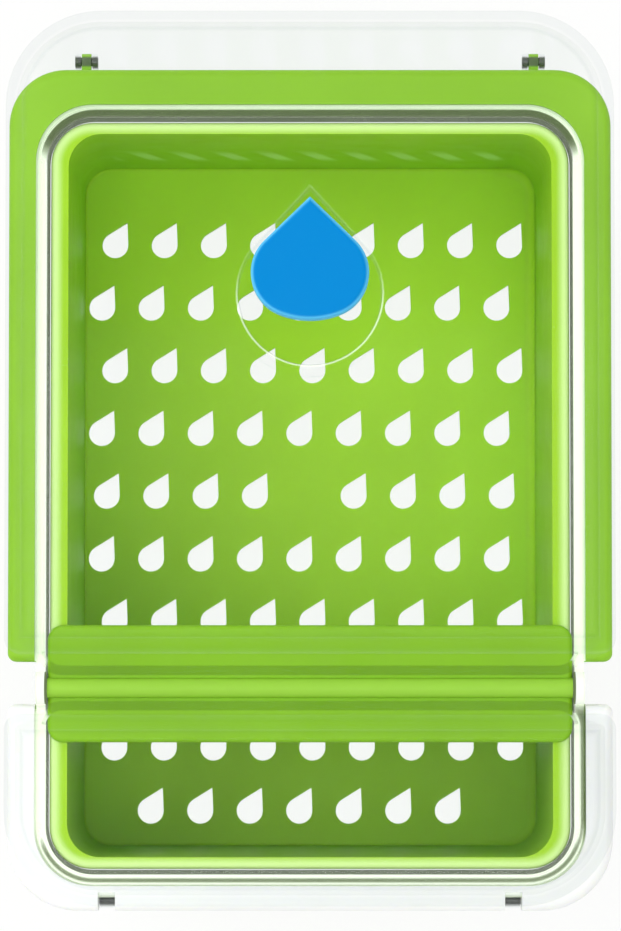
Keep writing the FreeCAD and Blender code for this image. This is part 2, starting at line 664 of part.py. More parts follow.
def hole_row(body, index, row, shift, first, count):
    """One row of drain holes."""
    x = f"{shift} + ({first - SIDE_COLUMNS}) * {HOLE_PITCH}"
    y = f"{FLOOR_Y} - Sizes.back_row_margin - {row} * {ROW_PITCH}"
    sketch = new_sketch(body, f"hole_{index}_outline", "Sizes.floor_height")
    hole_outline(sketch, x, y)
    single = pocket(body, f"hole_{index}", sketch, "2 * Sizes.floor_thick")
    repeat = body.newObject("PartDesign::LinearPattern", f"hole_row_{index}")
    repeat.Originals = [single]
    repeat.Direction = (origin_feature(body, "X_Axis"), [""])
    repeat.Occurrences = count
    repeat.setExpression("Length", f"{count - 1} * {HOLE_PITCH}")
    body.Tip = repeat


def hole_outline(sketch, x, y):
    """A leaning drop: a round end and two flanks that run to an off-centre tip."""
    cx = value(x)
    cy = value(y)
    r = value("Sizes.hole_radius")
    dx = value("Sizes.hole_tip_x")
    dy = value("Sizes.hole_tip_y")
    lean = math.degrees(math.atan2(dy, dx))
    spread = math.degrees(math.acos(r / math.hypot(dx, dy)))
    start = math.radians(lean + spread)
    end = math.radians(lean - spread)
    left = (cx + r * math.cos(start), cy + r * math.sin(start))
    right = (cx + r * math.cos(end), cy + r * math.sin(end))
    tip = (cx + dx, cy + dy)
    edges = [
        arc(cx, cy, r, lean + spread, lean - spread + 360),
        line(*right, *tip),
        line(*tip, *left),
    ]
    sketch.addGeometry(edges, False)
    sketch.addConstraint(Sketcher.Constraint("Tangent", 0, 2, 1, 1))
    sketch.addConstraint(Sketcher.Constraint("Coincident", 1, 2, 2, 1))
    sketch.addConstraint(Sketcher.Constraint("Tangent", 2, 2, 0, 1))
    dimension(sketch, "Radius", (0,), "Sizes.hole_radius")
    locate(sketch, "X", 0, 3, x)
    locate(sketch, "Y", 0, 3, y)
    dimension(sketch, "DistanceX", (0, 3, 1, 2), "Sizes.hole_tip_x")
    dimension(sketch, "DistanceY", (0, 3, 1, 2), "Sizes.hole_tip_y")


# ---------------------------------------------------------------- bridge bar


def make_bar():
    """A plate across the basket rim with a round ridge, skirts below and a divider fin."""
    body = new_body("bridge_bar")
    half = "Sizes.cavity_width / 2 - Sizes.bar_end_gap"
    rear = f"{DIVIDER_Y} + Sizes.bar_rear"
    front = f"{DIVIDER_Y} - Sizes.bar_front"
    plate = box_sketch(body, "plate_outline", BAR_BOTTOM, half, front, rear, "Sizes.bar_corner")
    plate_pad = pad(body, "plate", plate, "Sizes.bar_thick")
    round_edges(body, "plate_round", plate_pad, level_at(BAR_TOP), "Sizes.bar_thick / 2")

    ridge = new_sketch(body, "ridge_end", "0", "YZ_Plane")
    ridge_outline(ridge)
    pad(body, "ridge", ridge, f"2 * ({half})", both_ways=True)

    inside = f"{FLOOR_X} - Sizes.bar_inside_gap"
    skirt = box_sketch(body, "skirt_outline", BAR_BOTTOM, inside, front, rear, "Sizes.bar_corner")
    inner = f"{inside} - Sizes.bar_skirt_wall"
    inner_front = f"{front} + Sizes.bar_skirt_wall"
    inner_rear = f"{rear} - Sizes.bar_skirt_wall"
    inner_corner = "Sizes.bar_corner - Sizes.bar_skirt_wall"
    rounded_box(skirt, inner, inner_front, inner_rear, inner_corner, inner_corner)
    pad(body, "skirts", skirt, "Sizes.bar_skirt", reverse=True)

    fin = new_sketch(body, "fin_outline", f"-{DIVIDER_Y}", "XZ_Plane")
    low = "Sizes.floor_height + Sizes.fin_gap"
    polygon(fin, [(f"-({inside})", low), (inside, low), (inside, BAR_BOTTOM), (f"-({inside})", BAR_BOTTOM)])
    pad(body, "divider_fin", fin, "Sizes.fin_wall", both_ways=True)


def ridge_outline(sketch):
    """A half round on the plate, sunk a little so that it merges with it."""
    y = value(DIVIDER_Y)
    top = value(BAR_TOP)
    r = value("Sizes.ridge_radius")
    low = value(f"{BAR_TOP} - Sizes.bar_thick / 2")
    edges = [
        arc(y, top, r, 0, 180),
        line(y - r, top, y - r, low),
        line(y - r, low, y + r, low),
        line(y + r, low, y + r, top),
    ]
    sketch.addGeometry(edges)
    sketch.addConstraint(Sketcher.Constraint("Tangent", 0, 2, 1, 1))
    sketch.addConstraint(Sketcher.Constraint("Coincident", 1, 2, 2, 1))
    sketch.addConstraint(Sketcher.Constraint("Coincident", 2, 2, 3, 1))
    sketch.addConstraint(Sketcher.Constraint("Tangent", 3, 2, 0, 1))
    sketch.addConstraint(Sketcher.Constraint("Horizontal", 2))
    sketch.addConstraint(Sketcher.Constraint("Vertical", 3))
    dimension(sketch, "Radius", (0,), "Sizes.ridge_radius")
    locate(sketch, "X", 0, 3, DIVIDER_Y)
    locate(sketch, "Y", 0, 3, BAR_TOP)
    locate(sketch, "Y", 2, 1, f"{BAR_TOP} - Sizes.bar_thick / 2")


# ---------------------------------------------------------------- hoods and grips


def make_hood(label, front, back, front_corner, back_corner):
    """A tall drafted cover with a rounded top edge, still solid inside."""
    body = new_body(label)
    foot = box_sketch(body, "hood_foot", HOOD_BOTTOM, WALL_X, front, back, front_corner, back_corner)
    block = pad(body, "hood_block", foot, HOOD_TALL, lean=HOOD_LEAN)
    round_edges(body, "hood_top_round", block, level_at(HOOD_TOP), "Sizes.hood_top_round")
    return body


def hollow_hood(body, front, back, front_corner, back_corner):
    """The inside of a hood: the same form, one wall smaller all round, with its own round."""
    wall = "Sizes.hood_wall"
    foot = box_sketch(
        body,
        "hollow_foot",
        HOOD_BOTTOM,
        f"{WALL_X} - {wall}",
        f"{front} + {wall}",
        f"{back} - {wall}",
        f"{front_corner} - {wall}",
        f"{back_corner} - {wall}",
    )
    deep = f"{HOOD_TALL} - {wall}"
    hollow = pocket(body, "hood_hollow", foot, deep, reverse=True, lean=HOOD_LEAN)
    under_top = level_at(f"{HOOD_TOP} - {wall}")
    round_edges(body, "hollow_top_round", hollow, under_top, "Sizes.hood_top_round - Sizes.hood_wall")


def tongue(body, front, back, front_corner, back_corner):
    """The rim tongue that the grip clips over, proud of the sides and of one end."""
    height = f"{HOOD_BOTTOM} + Sizes.tongue_thick"
    outline = box_sketch(
        body, "tongue_outline", height, f"{WALL_X} + Sizes.tongue_out", front, back, front_corner, back_corner
    )
    pad(body, "tongue", outline, "Sizes.tongue_thick", reverse=True)


def bar_notch(body, front, back):
    """Lifts the foot of the wall beside the gap clear of the bridge bar."""
    half = "Sizes.cavity_width / 2"
    corner = "Sizes.edge_ease"
    outline = box_sketch(body, "bar_notch_outline", HOOD_BOTTOM, half, front, back, corner)
    depth = f"{BAR_TOP} - ({HOOD_BOTTOM}) + Sizes.hood_seat_gap"
    pocket(body, "bar_notch", outline, depth, reverse=True)


def make_rear_hood():
    """The large hood, with the drop-shaped well and filler hole in its top."""
    gap_corner = "Sizes.hood_gap_corner"
    corners = (gap_corner, "Sizes.hood_corner")
    body = make_hood("rear_hood", REAR_FACE, WALL_Y, *corners)
    arm_end = f"{DIVIDER_Y} + Sizes.rear_arm_gap"
    reach = f"{WALL_Y} + Sizes.tongue_out"
    tongue(body, arm_end, reach, "Sizes.edge_ease", "Sizes.hood_corner + Sizes.tongue_out / 2")
    hollow_hood(body, REAR_FACE, WALL_Y, *corners)
    bar_notch(body, f"{REAR_FACE} - Sizes.hood_wall", f"{REAR_FACE} + Sizes.hood_gap_corner")
    make_well(body)


def make_well(body):
    """A pan let into the hood top, with a filler hole and a short collar below it."""
    outer = new_sketch(body, "pan_outline", f"{WELL_BOTTOM} - Sizes.well_floor")
    wall = "Sizes.hood_wall"
    steep = "Sizes.well_tip + Sizes.hood_wall * Sizes.well_tip / Sizes.well_radius"
    well_drop(outer, "Sizes.well_y", f"Sizes.well_radius + {wall}", steep)
    pad(body, "pan", outer, "Sizes.well_depth + Sizes.well_floor - Sizes.hood_wall / 2")
    collar = new_sketch(body, "collar_outline", f"{WELL_BOTTOM} - Sizes.well_floor")
    ring(collar, "0", FILLER_Y, "Sizes.filler_radius + Sizes.collar_wall")
    pad(body, "collar", collar, "Sizes.collar_drop", reverse=True)
    well = new_sketch(body, "well_outline", HOOD_TOP)
    well_drop(well, "Sizes.well_y", "Sizes.well_radius", "Sizes.well_tip")
    pocket(body, "well", well, "Sizes.well_depth")
    filler = new_sketch(body, "filler_outline", WELL_BOTTOM)
    ring(filler, "0", FILLER_Y, "Sizes.filler_radius")
    pocket(body, "filler_hole", filler, "Sizes.well_floor + Sizes.collar_drop")


def make_front_hood():
    """The narrow hood over the front compartment."""
    gap_corner = "Sizes.hood_gap_corner"
    corners = ("Sizes.hood_corner", gap_corner)
    front = f"-({WALL_Y})"
    body = make_hood("front_hood", front, FRONT_FACE, *corners)
    arm_end = f"{DIVIDER_Y} - Sizes.front_arm_gap"
    reach = f"{front} - Sizes.tongue_out"
    tongue(body, reach, arm_end, "Sizes.hood_corner + Sizes.tongue_out / 2", "Sizes.edge_ease")
    hollow_hood(body, front, FRONT_FACE, *corners)
    bar_notch(body, f"{FRONT_FACE} - Sizes.hood_gap_corner", f"{FRONT_FACE} + Sizes.hood_wall")


def grip_cut(body, name, height, half_width, front, back, front_corner, back_corner, depth):
    """One rounded cut upward into a grip."""
    outline = box_sketch(body, f"{name}_outline", height, half_width, front, back, front_corner, back_corner)
    return pocket(body, name, outline, depth, reverse=True)


def make_rear_grip():
    """A U-shaped rim that clips over the rear hood's tongue and carries two hinge knuckles."""
    body = new_body("rear_rim_grip")
    arm_end = f"{DIVIDER_Y} + Sizes.rear_arm_gap"
    out_x = f"{WALL_X} + Sizes.grip_side"
    out_y = f"{WALL_Y} + Sizes.grip_back"
    tall = "Sizes.grip_drop + Sizes.grip_rise"
    outline = box_sketch(
        body, "grip_outline", GRIP_BOTTOM, out_x, arm_end, out_y, "Sizes.grip_round", "Sizes.rear_grip_corner"
    )
    block = pad(body, "grip_block", outline, tall)
    grip_edges(body, block)
    middle = DIVIDER_Y
    inner_x = f"{WALL_X} + Sizes.grip_play"
    inner_y = f"{WALL_Y} + Sizes.grip_play"
    corner = "Sizes.hood_corner"
    grip_cut(body, "grip_inside", GRIP_BOTTOM, inner_x, middle, inner_y, "Sizes.grip_play", corner, tall)
    groove(body, middle, f"{WALL_Y} + Sizes.tongue_out + Sizes.tongue_fit", False)
    rear_knuckles(body, f"{out_y} - Sizes.grip_round")


def grip_edges(body, block):
    """Rounds the outer edges at the top and the bottom of a grip."""
    low = level_at(GRIP_BOTTOM)
    high = level_at(f"{RIM} + Sizes.grip_rise")
    round_edges(body, "grip_round", block, lambda edge: low(edge) or high(edge), "Sizes.grip_round")


def groove(body, inner_end, outer_end, to_front):
    """The groove in a grip that takes the hood's tongue."""
    low = f"{HOOD_BOTTOM} - Sizes.tongue_fit"
    half = f"{WALL_X} + Sizes.tongue_out + Sizes.tongue_fit"
    deep = "Sizes.tongue_thick + 2 * Sizes.tongue_fit"
    corner = "Sizes.hood_corner + Sizes.tongue_out / 2"
    small = "Sizes.grip_play"
    if to_front:
        grip_cut(body, "tongue_groove", low, half, outer_end, inner_end, corner, small, deep)
    else:
        grip_cut(body, "tongue_groove", low, half, inner_end, outer_end, small, corner, deep)


def rear_knuckles(body, arm_y):
    """One turning knuckle at each rear hinge, on a short arm and bored for the pin."""
    start = f"{REAR_HINGE_X} - Sizes.knuckle_wide / 2"
    wide = "Sizes.knuckle_wide"
    heights = (AXIS_Z, f"{AXIS_Z} + Sizes.knuckle_radius")
    bore = "Sizes.pin_radius + Sizes.pin_fit"
    features = [
        arm(body, "knuckle", start, wide, (arm_y, REAR_AXIS_Y), heights),
        eye(body, "knuckle", start, wide, REAR_AXIS_Y),
        pin_hole(body, "knuckle_bore", start, wide, REAR_AXIS_Y, bore),
    ]
    mirror(body, "knuckle_pair", features)


def make_front_grip():
    """The same rim for the front hood, slotted over the tank's front lugs."""
    body = new_body("front_rim_grip")
    arm_end = f"{DIVIDER_Y} - Sizes.front_arm_gap"
    out_x = f"{WALL_X} + Sizes.grip_side"
    out_y = f"-({WALL_Y} + Sizes.grip_front)"
    tall = "Sizes.grip_drop + Sizes.grip_rise"
    outline = box_sketch(
        body, "grip_outline", GRIP_BOTTOM, out_x, out_y, arm_end, "Sizes.front_grip_corner", "Sizes.grip_round"
    )
    block = pad(body, "grip_block", outline, tall)
    grip_edges(body, block)
    middle = DIVIDER_Y
    inner_x = f"{WALL_X} + Sizes.grip_play"
    inner_y = f"-({WALL_Y} + Sizes.grip_play)"
    corner = "Sizes.hood_corner"
    grip_cut(body, "grip_inside", GRIP_BOTTOM, inner_x, inner_y, middle, corner, "Sizes.grip_play", tall)
    groove(body, middle, f"-({WALL_Y} + Sizes.tongue_out + Sizes.tongue_fit)", True)
    front_cheeks(body, out_y)


def front_cheeks(body, out_y):
    """A notch over each front lug, with a bored round cheek under the grip on either side of it."""
    middle = "Sizes.front_lug_wide"
    starts = beside(FRONT_HINGE_X, middle)
    features = []
    for place, start in starts:
        features.append(eye(body, f"{place}_cheek", start, "Sizes.lug_wide", FRONT_AXIS_Y))
    across = f"2 * Sizes.lug_wide + {middle} + 2 * Sizes.knuckle_play"
    bore = "Sizes.pin_radius + Sizes.pin_fit"
    features.append(pin_hole(body, "cheek_bore", starts[0][1], across, FRONT_AXIS_Y, bore))

    notch = new_sketch(body, "notch_outline", GRIP_BOTTOM)
    left = f"{starts[0][1]} + Sizes.lug_wide"
    right = starts[1][1]
    front = f"{out_y} - Sizes.grip_play"
    rear = f"{FRONT_AXIS_Y} + Sizes.knuckle_radius + Sizes.knuckle_play"
    polygon(notch, [(left, front), (right, front), (right, rear), (left, rear)])
    tall = "2 * (Sizes.grip_drop + Sizes.grip_rise)"
    features.append(pocket(body, "lug_notch", notch, tall, both_ways=True))
    mirror(body, "front_cheek_pairs", features)


def plug_outline(sketch):
    """A pointed shield: two flanks, two side rounds and one shallow round end."""
    tip = value(f"{PLUG_TIP}")
    half = value("Sizes.plug_width / 2")
    length = value("Sizes.plug_length")
    r = value("Sizes.plug_shoulder")
    down = value("Sizes.plug_shoulder_y")
    cx = half - r
    cy = tip - down
    reach = length - down
    # The end round touches both side rounds from outside and passes through the foot of the head.
    big = (cx * cx + reach * reach - r * r) / (2 * (reach - r))
    end_y = tip - length + big
    away = math.hypot(cx, down)
    flank = math.degrees(math.atan2(down, -cx)) - math.degrees(math.acos(r / away))
    join = math.degrees(math.atan2(cy - end_y, cx))
    edges = [
        arc(0, end_y, big, 180 - join, 360 + join),
        arc(cx, cy, r, join, flank),
        line(
            cx + r * math.cos(math.radians(flank)), cy + r * math.sin(math.radians(flank)), 0, tip
        ),
        line(
            0, tip, -cx - r * math.cos(math.radians(flank)), cy + r * math.sin(math.radians(flank))
        ),
        arc(-cx, cy, r, 180 - flank, 180 - join),
    ]
    sketch.addGeometry(edges, False)
    sketch.addConstraint(Sketcher.Constraint("Tangent", 0, 2, 1, 1))
    sketch.addConstraint(Sketcher.Constraint("Tangent", 1, 2, 2, 1))
    sketch.addConstraint(Sketcher.Constraint("Coincident", 2, 2, 3, 1))
    sketch.addConstraint(Sketcher.Constraint("Tangent", 3, 2, 4, 1))
    sketch.addConstraint(Sketcher.Constraint("Tangent", 4, 2, 0, 1))
    sketch.addConstraint(Sketcher.Constraint("Equal", 1, 4))
    sketch.addConstraint(Sketcher.Constraint("PointOnObject", 0, 3, -2))
    dimension(sketch, "Radius", (1,), "Sizes.plug_shoulder")
    locate(sketch, "X", 2, 2, "0")
    locate(sketch, "Y", 2, 2, PLUG_TIP)
    locate(sketch, "X", 1, 3, "Sizes.plug_width / 2 - Sizes.plug_shoulder")
    locate(sketch, "X", 4, 3, "-(Sizes.plug_width / 2 - Sizes.plug_shoulder)")
    locate(sketch, "Y", 1, 3, f"{PLUG_TIP} - Sizes.plug_shoulder_y")


def make_plug():
    """The blue water plug: a drop-shaped head on a round stem."""
    body = new_body("water_plug")
    outline = new_sketch(body, "head_outline", PLUG_BOTTOM)
    plug_outline(outline)
    head = pad(body, "head", outline, "Sizes.plug_head")
    top = level_at(f"{PLUG_BOTTOM} + Sizes.plug_head")
    round_edges(body, "head_round", head, top, "Sizes.plug_round")
    stem = new_sketch(body, "stem_outline", PLUG_BOTTOM)
    ring(stem, "0", FILLER_Y, "Sizes.plug_stem")
    pad(body, "stem", stem, "Sizes.stem_length", reverse=True)


def make_seal():
    """A soft ring round the stem that closes the filler hole."""
    body = new_body("plug_seal")
    outline = new_sketch(body, "seal_outline", f"{PLUG_BOTTOM} - Sizes.seal_drop")
    ring(outline, "0", FILLER_Y, "Sizes.seal_radius")
    ring(outline, "0", FILLER_Y, "Sizes.plug_stem")
    pad(body, "seal_ring", outline, "Sizes.seal_thick", reverse=True)


# ---------------------------------------------------------------- build and write

make_tank()
make_feet()
make_basket()
make_drain_floor()
make_bar()
make_rear_hood()
make_rear_grip()
make_front_hood()
make_front_grip()
for side_name, sign in SIDES:
    rear_name = f"rear_hinge_pin_{side_name}"
    hinge_pin(rear_name, sign, REAR_HINGE_X, REAR_AXIS_Y, REAR_PIN_LENGTH)
    front_name = f"front_hinge_pin_{side_name}"
    hinge_pin(front_name, sign, FRONT_HINGE_X, FRONT_AXIS_Y, FRONT_PIN_LENGTH)
make_plug()
make_seal()
doc.recompute()

for item in doc.Objects:
    if "Invalid" in item.State or "Error" in item.State:
        raise RuntimeError(f"{item.Label} failed: {item.State}")
for cut in cuts:
    before = cut.BaseFeature.Shape.Volume
    if cut.Shape.Volume > before - EDGE_TOLERANCE:
        raise RuntimeError(f"{cut.Label} removed nothing")
os.makedirs("parts", exist_ok=True)
for part in sub_parts:
    shape = part.Shape
    if shape.isNull() or not shape.isValid():
        raise RuntimeError(f"{part.Label} has no valid shape")
    shape.exportStep(f"parts/{part.Label}.step")
    print(f"{part.Label}: {len(shape.Solids)} solid, {shape.Volume / 1000:.2f} cm3")
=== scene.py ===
import math

import bmesh
import bpy
import numpy as np
from bpy.props import FloatProperty, FloatVectorProperty, PointerProperty
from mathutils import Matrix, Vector


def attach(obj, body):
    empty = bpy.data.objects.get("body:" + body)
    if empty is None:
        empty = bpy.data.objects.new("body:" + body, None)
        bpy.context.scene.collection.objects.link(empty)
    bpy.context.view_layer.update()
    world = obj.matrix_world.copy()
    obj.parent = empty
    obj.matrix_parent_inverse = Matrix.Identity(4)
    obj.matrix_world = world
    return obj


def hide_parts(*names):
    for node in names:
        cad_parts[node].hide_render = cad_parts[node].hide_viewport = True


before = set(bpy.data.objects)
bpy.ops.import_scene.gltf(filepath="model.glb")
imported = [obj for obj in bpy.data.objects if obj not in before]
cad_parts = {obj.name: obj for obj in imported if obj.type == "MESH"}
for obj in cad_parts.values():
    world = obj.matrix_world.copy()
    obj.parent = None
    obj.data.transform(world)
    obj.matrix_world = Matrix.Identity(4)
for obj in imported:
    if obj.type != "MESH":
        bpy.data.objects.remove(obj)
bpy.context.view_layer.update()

bl_info = {
    "name": "Fresh Herb Keeper",
    "version": (1, 0, 0),
    "blender": (4, 5, 0),
    "location": "View3D > Sidebar > Herb Keeper",
    "description": "Dresses the packed herb keeper with moulded plastics, steel pins and a studio",
    "category": "Object",
}

MM = 0.001
MARK = "edge"
CORNER_STEPS, SIDE_STEPS, ROUND_STEPS = 12, 14, 7
SHARP_DEGREES = 40

# Sizes of the solids that the added surfaces meet, in millimetres about the tank's centre.
RIM = 70.0
CAVITY_X, CAVITY_Y, CAVITY_CORNER = 55.4, 79.8, 9.8
WALL_X, WALL_Y, WALL = 57.5, 81.9, 2.0
BAND_X, BAND_Y, BAND_CORNER = 54.75, 78.75, 8.8
FLOOR_X, FLOOR_Y, FLOOR_CORNER, FLOOR_TOP = 50.15, 75.4, 6.1, 13.0
GAP_REAR, GAP_FRONT = -38.1, -43.5
BAR_TOP, PLUG_TOP = 72.3, 223.3
# Where the tank's centre stands, and how far the hinge lines are, along Y from the frame's origin.
CENTRE_Y, HINGE_Y = -3.3, 88.85

# The hoods: heights, corner radii, the tongue under the grips and how far its arms start from the
# gap. The tongue spans the first rows of the wall, and over the bar those rows are squeezed.
HOOD_FOOT, TONGUE_TOP, HOOD_TOP = 70.2, 72.2, 222.0
FOOT_CORNER, GAP_CORNER, LEAST_CORNER, TOP_ROUND = 12.0, 5.5, 0.3, 4.3
TONGUE, REAR_ARM_START, FRONT_ARM_START = 2.75, 2.9, 0.8
TONGUE_ROWS = 3
BAR_CLEAR, BAR_SQUEEZE = 72.5, 10.0
LEVELS = np.array([HOOD_FOOT, HOOD_FOOT + 0.15, TONGUE_TOP, TONGUE_TOP + 0.05, *range(80, 201, 20), 212])

# How much milk-white painted glow (above zero) or painted shade (below zero) the clear plastic gets.
# The rim's dark edge reads its share the other way: above zero is painted shade there.
RIM_SHARE, LINE_SHADE, BOSS_SHARE = 0.85, -0.8, 0.5
ROUND_SHADE, BAR_SHADE, EDGE_SHADE = -0.02, -0.2, 0.8
# The same across a hood's foot, from its tongue over the foot's rings to its inner skin, for the
# left side, the right side and the far end.
FOOT_SHARES = (0.0, 0.3, 0.5)
REAR_FOOT = (
    (0.85, 0.85, 0.7, 0.6, 0.1),
    (0.85, 0.85, 0.85, 0.85, 0.7),
    (0.85, 0.85, -0.9, -0.9, -0.9),
)
FRONT_FOOT = (
    (0.6, 0.8, 0.85, 0.85, 0.7),
    (-0.8, -0.8, -0.6, 0.85, 0.85),
    (0.5, 0.3, -0.75, -0.75, 0.85),
)
# Millimetres over which those shares turn from side to side, from side to far end and at the bar.
SIDE_TURN, END_START, END_TURN = 40.0, 14.0, 8.0
BAR_MARGIN, BAR_TURN, GAP_TURN = 0.4, 2.0, 0.5

# The well: rings of a drop or a circle, with radius, height and share, painted glow above zero
# and painted shade below. The share fades to a part of itself towards the drop's tip.
WELL_Y, WELL_RADIUS, WELL_TIP, FILLER_Y = 29.1, 12.9, 19.0, 33.4
WELL_PROFILE = (
    ("drop", 13.4, 222.0, 0.0), ("drop", 13.15, 222.0, 0.45), ("drop", 13.0, 221.88, 0.4),
    ("drop", 12.9, 221.6, -0.3), ("drop", 12.9, 219.4, -0.15), ("drop", 12.7, 218.95, 0.0),
    ("drop", 12.2, 218.8, 0.0), ("ring", 6.0, 218.8, 0.0), ("ring", 5.7, 218.7, 0.2),
    ("ring", 5.6, 218.4, 0.0), ("ring", 5.6, 214.0, 0.2), ("ring", 7.2, 214.0, 0.2),
    ("ring", 7.2, 217.0, 0.0), ("drop", 14.5, 217.0, 0.0), ("drop", 14.8, 217.15, 0.0),
    ("drop", 14.9, 217.5, 0.0), ("drop", 14.9, 220.0, 0.0),
)
TIP_PART, TIP_START, TIP_TURN = 0.15, 5.0, 8.0

# The tank's rim edge, a dark ring of painted shade over the gap between basket and tank: its
# width along the sides and at the ends, how far it stands under the rim's top, and how deep it goes.
EDGE_SIDE, EDGE_END, EDGE_DROP, EDGE_DEPTH = 0.5, 0.9, 0.05, 0.75
# Where the cove starts to grow towards the right side, over what width, and how far its hidden
# ring lies behind wall and floor.
COVE_START, COVE_TURN, COVE_OVERLAP = 36.0, 12.0, 0.02

# Clear plastic: refractive index of styrene acrylonitrile, what its walls let pass seen straight
# on, at a slant and under the darkest painted shade, and how far a milk-white face glows, a painted
# glow.
SHELL_IOR = 1.57
CLEAR, BODY, SHADED = (0.992, 0.995, 0.995), (0.94, 0.953, 0.955), (0.16, 0.21, 0.09)
RIM_GLOW = 0.3
# Where it gets painted glow and painted shade by place: the rim's flat top and the bosses on it
# glow, by their height, and the painted dark line inside the rim lies by its distance from the
# cavity's wall.
RIM_FACE, BOSS_FACE, LINE_BAND = (RIM - 0.1, RIM - 0.02), (RIM + 0.04, RIM + 0.12), (-0.4, -0.15)
# Reflectances between which each of its effects grows or fades; seen straight on it is 0.049.
MIRROR_GROWS, MIRROR_FADES, MIRROR_MOST, MIRROR_LEAST = (0.045, 0.2), (0.25, 0.7), 0.07, 0.15
BODY_GROWS, BODY_FADES = (0.0497, 0.058), (0.4, 0.7)
# Light is followed through this many clear faces; what stands behind more shows a plain colour as a
# painted flat glow.
CLEAR_WALLS = 8
SHELL_BEHIND, PLASTIC_BEHIND = (0.8, 0.84, 0.84, 1.0), 0.7

# Patterns, by the width of one patch in millimetres: colour that flowed unevenly, wiped sheen,
# haze on clear walls, drift of the painted shade along the rim's edge, rubber grain, and a drawn
# wire's lines along and across. The grains of the plastics are given with their colours.
CLOUD, SMEAR, HAZE, DRIFT, RUBBER_GRAIN, WIRE_LINES = 35.7, 6.25, 22.2, 16.7, 0.4, (5.0, 0.167)
# The part of a noise's range that its patches mostly fill, and how far it turns the roughness.
PATCHES, HAZE_PATCHES, SHEEN, SHELL_ROUGH = (0.3, 0.7), (0.35, 0.7), (-0.05, 0.06), (0.05, 0.1)

# The painted glints on the basket's rear wall: spacing, place in the row and lean, their edge's
# softness and strength, and the half width, depth and heights between which they fade in and out.
GLINT_STEP, GLINT_PHASE, GLINT_LEAN = 9.37, 0.54, 0.35
GLINT_EDGE, GLINT_SHARE = (-0.2, 0.9), 0.8
GLINT_HALF, GLINT_REAR, GLINT_FACE = (43.5, 41.0), (71.8, 72.1), (74.0, 73.7)
GLINT_FOOT, GLINT_HEAD = (24.0, 32.0), (45.0, 34.0)
# Where painted highlights lie: the rim's crest from inside to outside and from below, the plug's top,
# which its paler painted edge leaves out, and the bar's ridge.
CREST_WIDTH, CREST_HEIGHT = (2.9, 0.9), (RIM - 0.8, RIM - 0.2)
PLUG_FACE = (PLUG_TOP - 0.35, PLUG_TOP - 0.02)
RIDGE_HEIGHT = (BAR_TOP + 0.2, BAR_TOP + 1.6)
# The painted dark core along the hinge lines, the pins seen through the lugs and painted shade
# between them: its half width, and its share in front and in the rear.
CORE_HALF, CORE_SHARE = (1.4, 0.7), (0.5, 0.88)

# The stage: lens and its place and tilt, lamps as place, size and power, and the white sweep.
LENS, SENSOR, SIGHT = 183.7, 36.0, 20.0
CAMERA_X, CAMERA_Y, CAMERA_TILT = 0.0001, -0.0493, 2.98
LAMP_AIM = (0.0, 0.0, 0.1)
KEY_LAMP, FILL_LAMP = ((-0.75, 0.45, 1.2), 0.9, 6.5), ((0.0, -0.3, 1.6), 0.9, 8.0)
WORLD_LIGHT, SWEEP_GLOW = 0.72, 0.89
SWEEP_HALF, SWEEP_DROP = 3.0, 0.05


# ---------------------------------------------------------------- colours and nodes


def linear(hex_colour):
    """An sRGB hex colour as linear RGB."""
    channels = []
    for start in (0, 2, 4):
        c = int(hex_colour[start:start + 2], 16) / 255
        channels.append(c / 12.92 if c <= 0.04045 else ((c + 0.055) / 1.055) ** 2.4)
    return tuple(channels)


def add_node(tree, kind, settings=None, inputs=None):
    """Adds a shader node; an input given as a node output becomes a link, anything else a value."""
    node = tree.nodes.new(kind)
    for key, setting in (settings or {}).items():
        setattr(node, key, setting)
    for key, given in (inputs or {}).items():
        if isinstance(given, bpy.types.NodeSocket):
            tree.links.new(given, node.inputs[key])
        else:
            node.inputs[key].default_value = given
    return node


def new_material(name):
    """An empty node material and its tree."""
    material = bpy.data.materials.new(name)
    material.use_nodes = True
    material.node_tree.nodes.clear()
    return material, material.node_tree


def finish_material(tree, surface):
    """Ends a material's tree with its surface."""
    add_node(tree, "ShaderNodeOutputMaterial", inputs={"Surface": surface})


def rgba(colour):
    """A colour with full alpha, as the nodes take it."""
    return (*colour[:3], 1.0)


def height_mask(tree, place, low, high):
    """Zero below one height in millimetres and one above another, on object coordinates."""
    split = add_node(tree, "ShaderNodeSeparateXYZ", inputs={0: place})
    return add_node(
        tree, "ShaderNodeMapRange", {"interpolation_type": "SMOOTHSTEP"},
        {"Value": split.outputs["Z"], "From Min": low * MM, "From Max": high * MM},
    ).outputs["Result"]


def inside_outline(tree, place, half_x, half_y, corner):
    """How far a point lies inside a rectangle with round corners, in metres, on object coordinates.

    With q = |p| - (half size - corner), cut off below zero, the distance is the corner radius less |q|.
    """
    middle = add_node(
        tree, "ShaderNodeVectorMath", {"operation": "SUBTRACT"}, {0: place, 1: (0.0, CENTRE_Y * MM, 0.0)}
    )
    folded = add_node(tree, "ShaderNodeVectorMath", {"operation": "ABSOLUTE"}, {0: middle.outputs[0]})
    box = ((half_x - corner) * MM, (half_y - corner) * MM, 1.0)
    beyond = add_node(
        tree, "ShaderNodeVectorMath", {"operation": "SUBTRACT"}, {0: folded.outputs[0], 1: box}
    )
    cut = add_node(
        tree, "ShaderNodeVectorMath", {"operation": "MAXIMUM"}, {0: beyond.outputs[0], 1: (0, 0, 0)}
    )
    reach = add_node(tree, "ShaderNodeVectorMath", {"operation": "LENGTH"}, {0: cut.outputs[0]})
    return add_node(
        tree, "ShaderNodeMath", {"operation": "SUBTRACT"}, {0: corner * MM, 1: reach.outputs["Value"]}
    ).outputs[0]


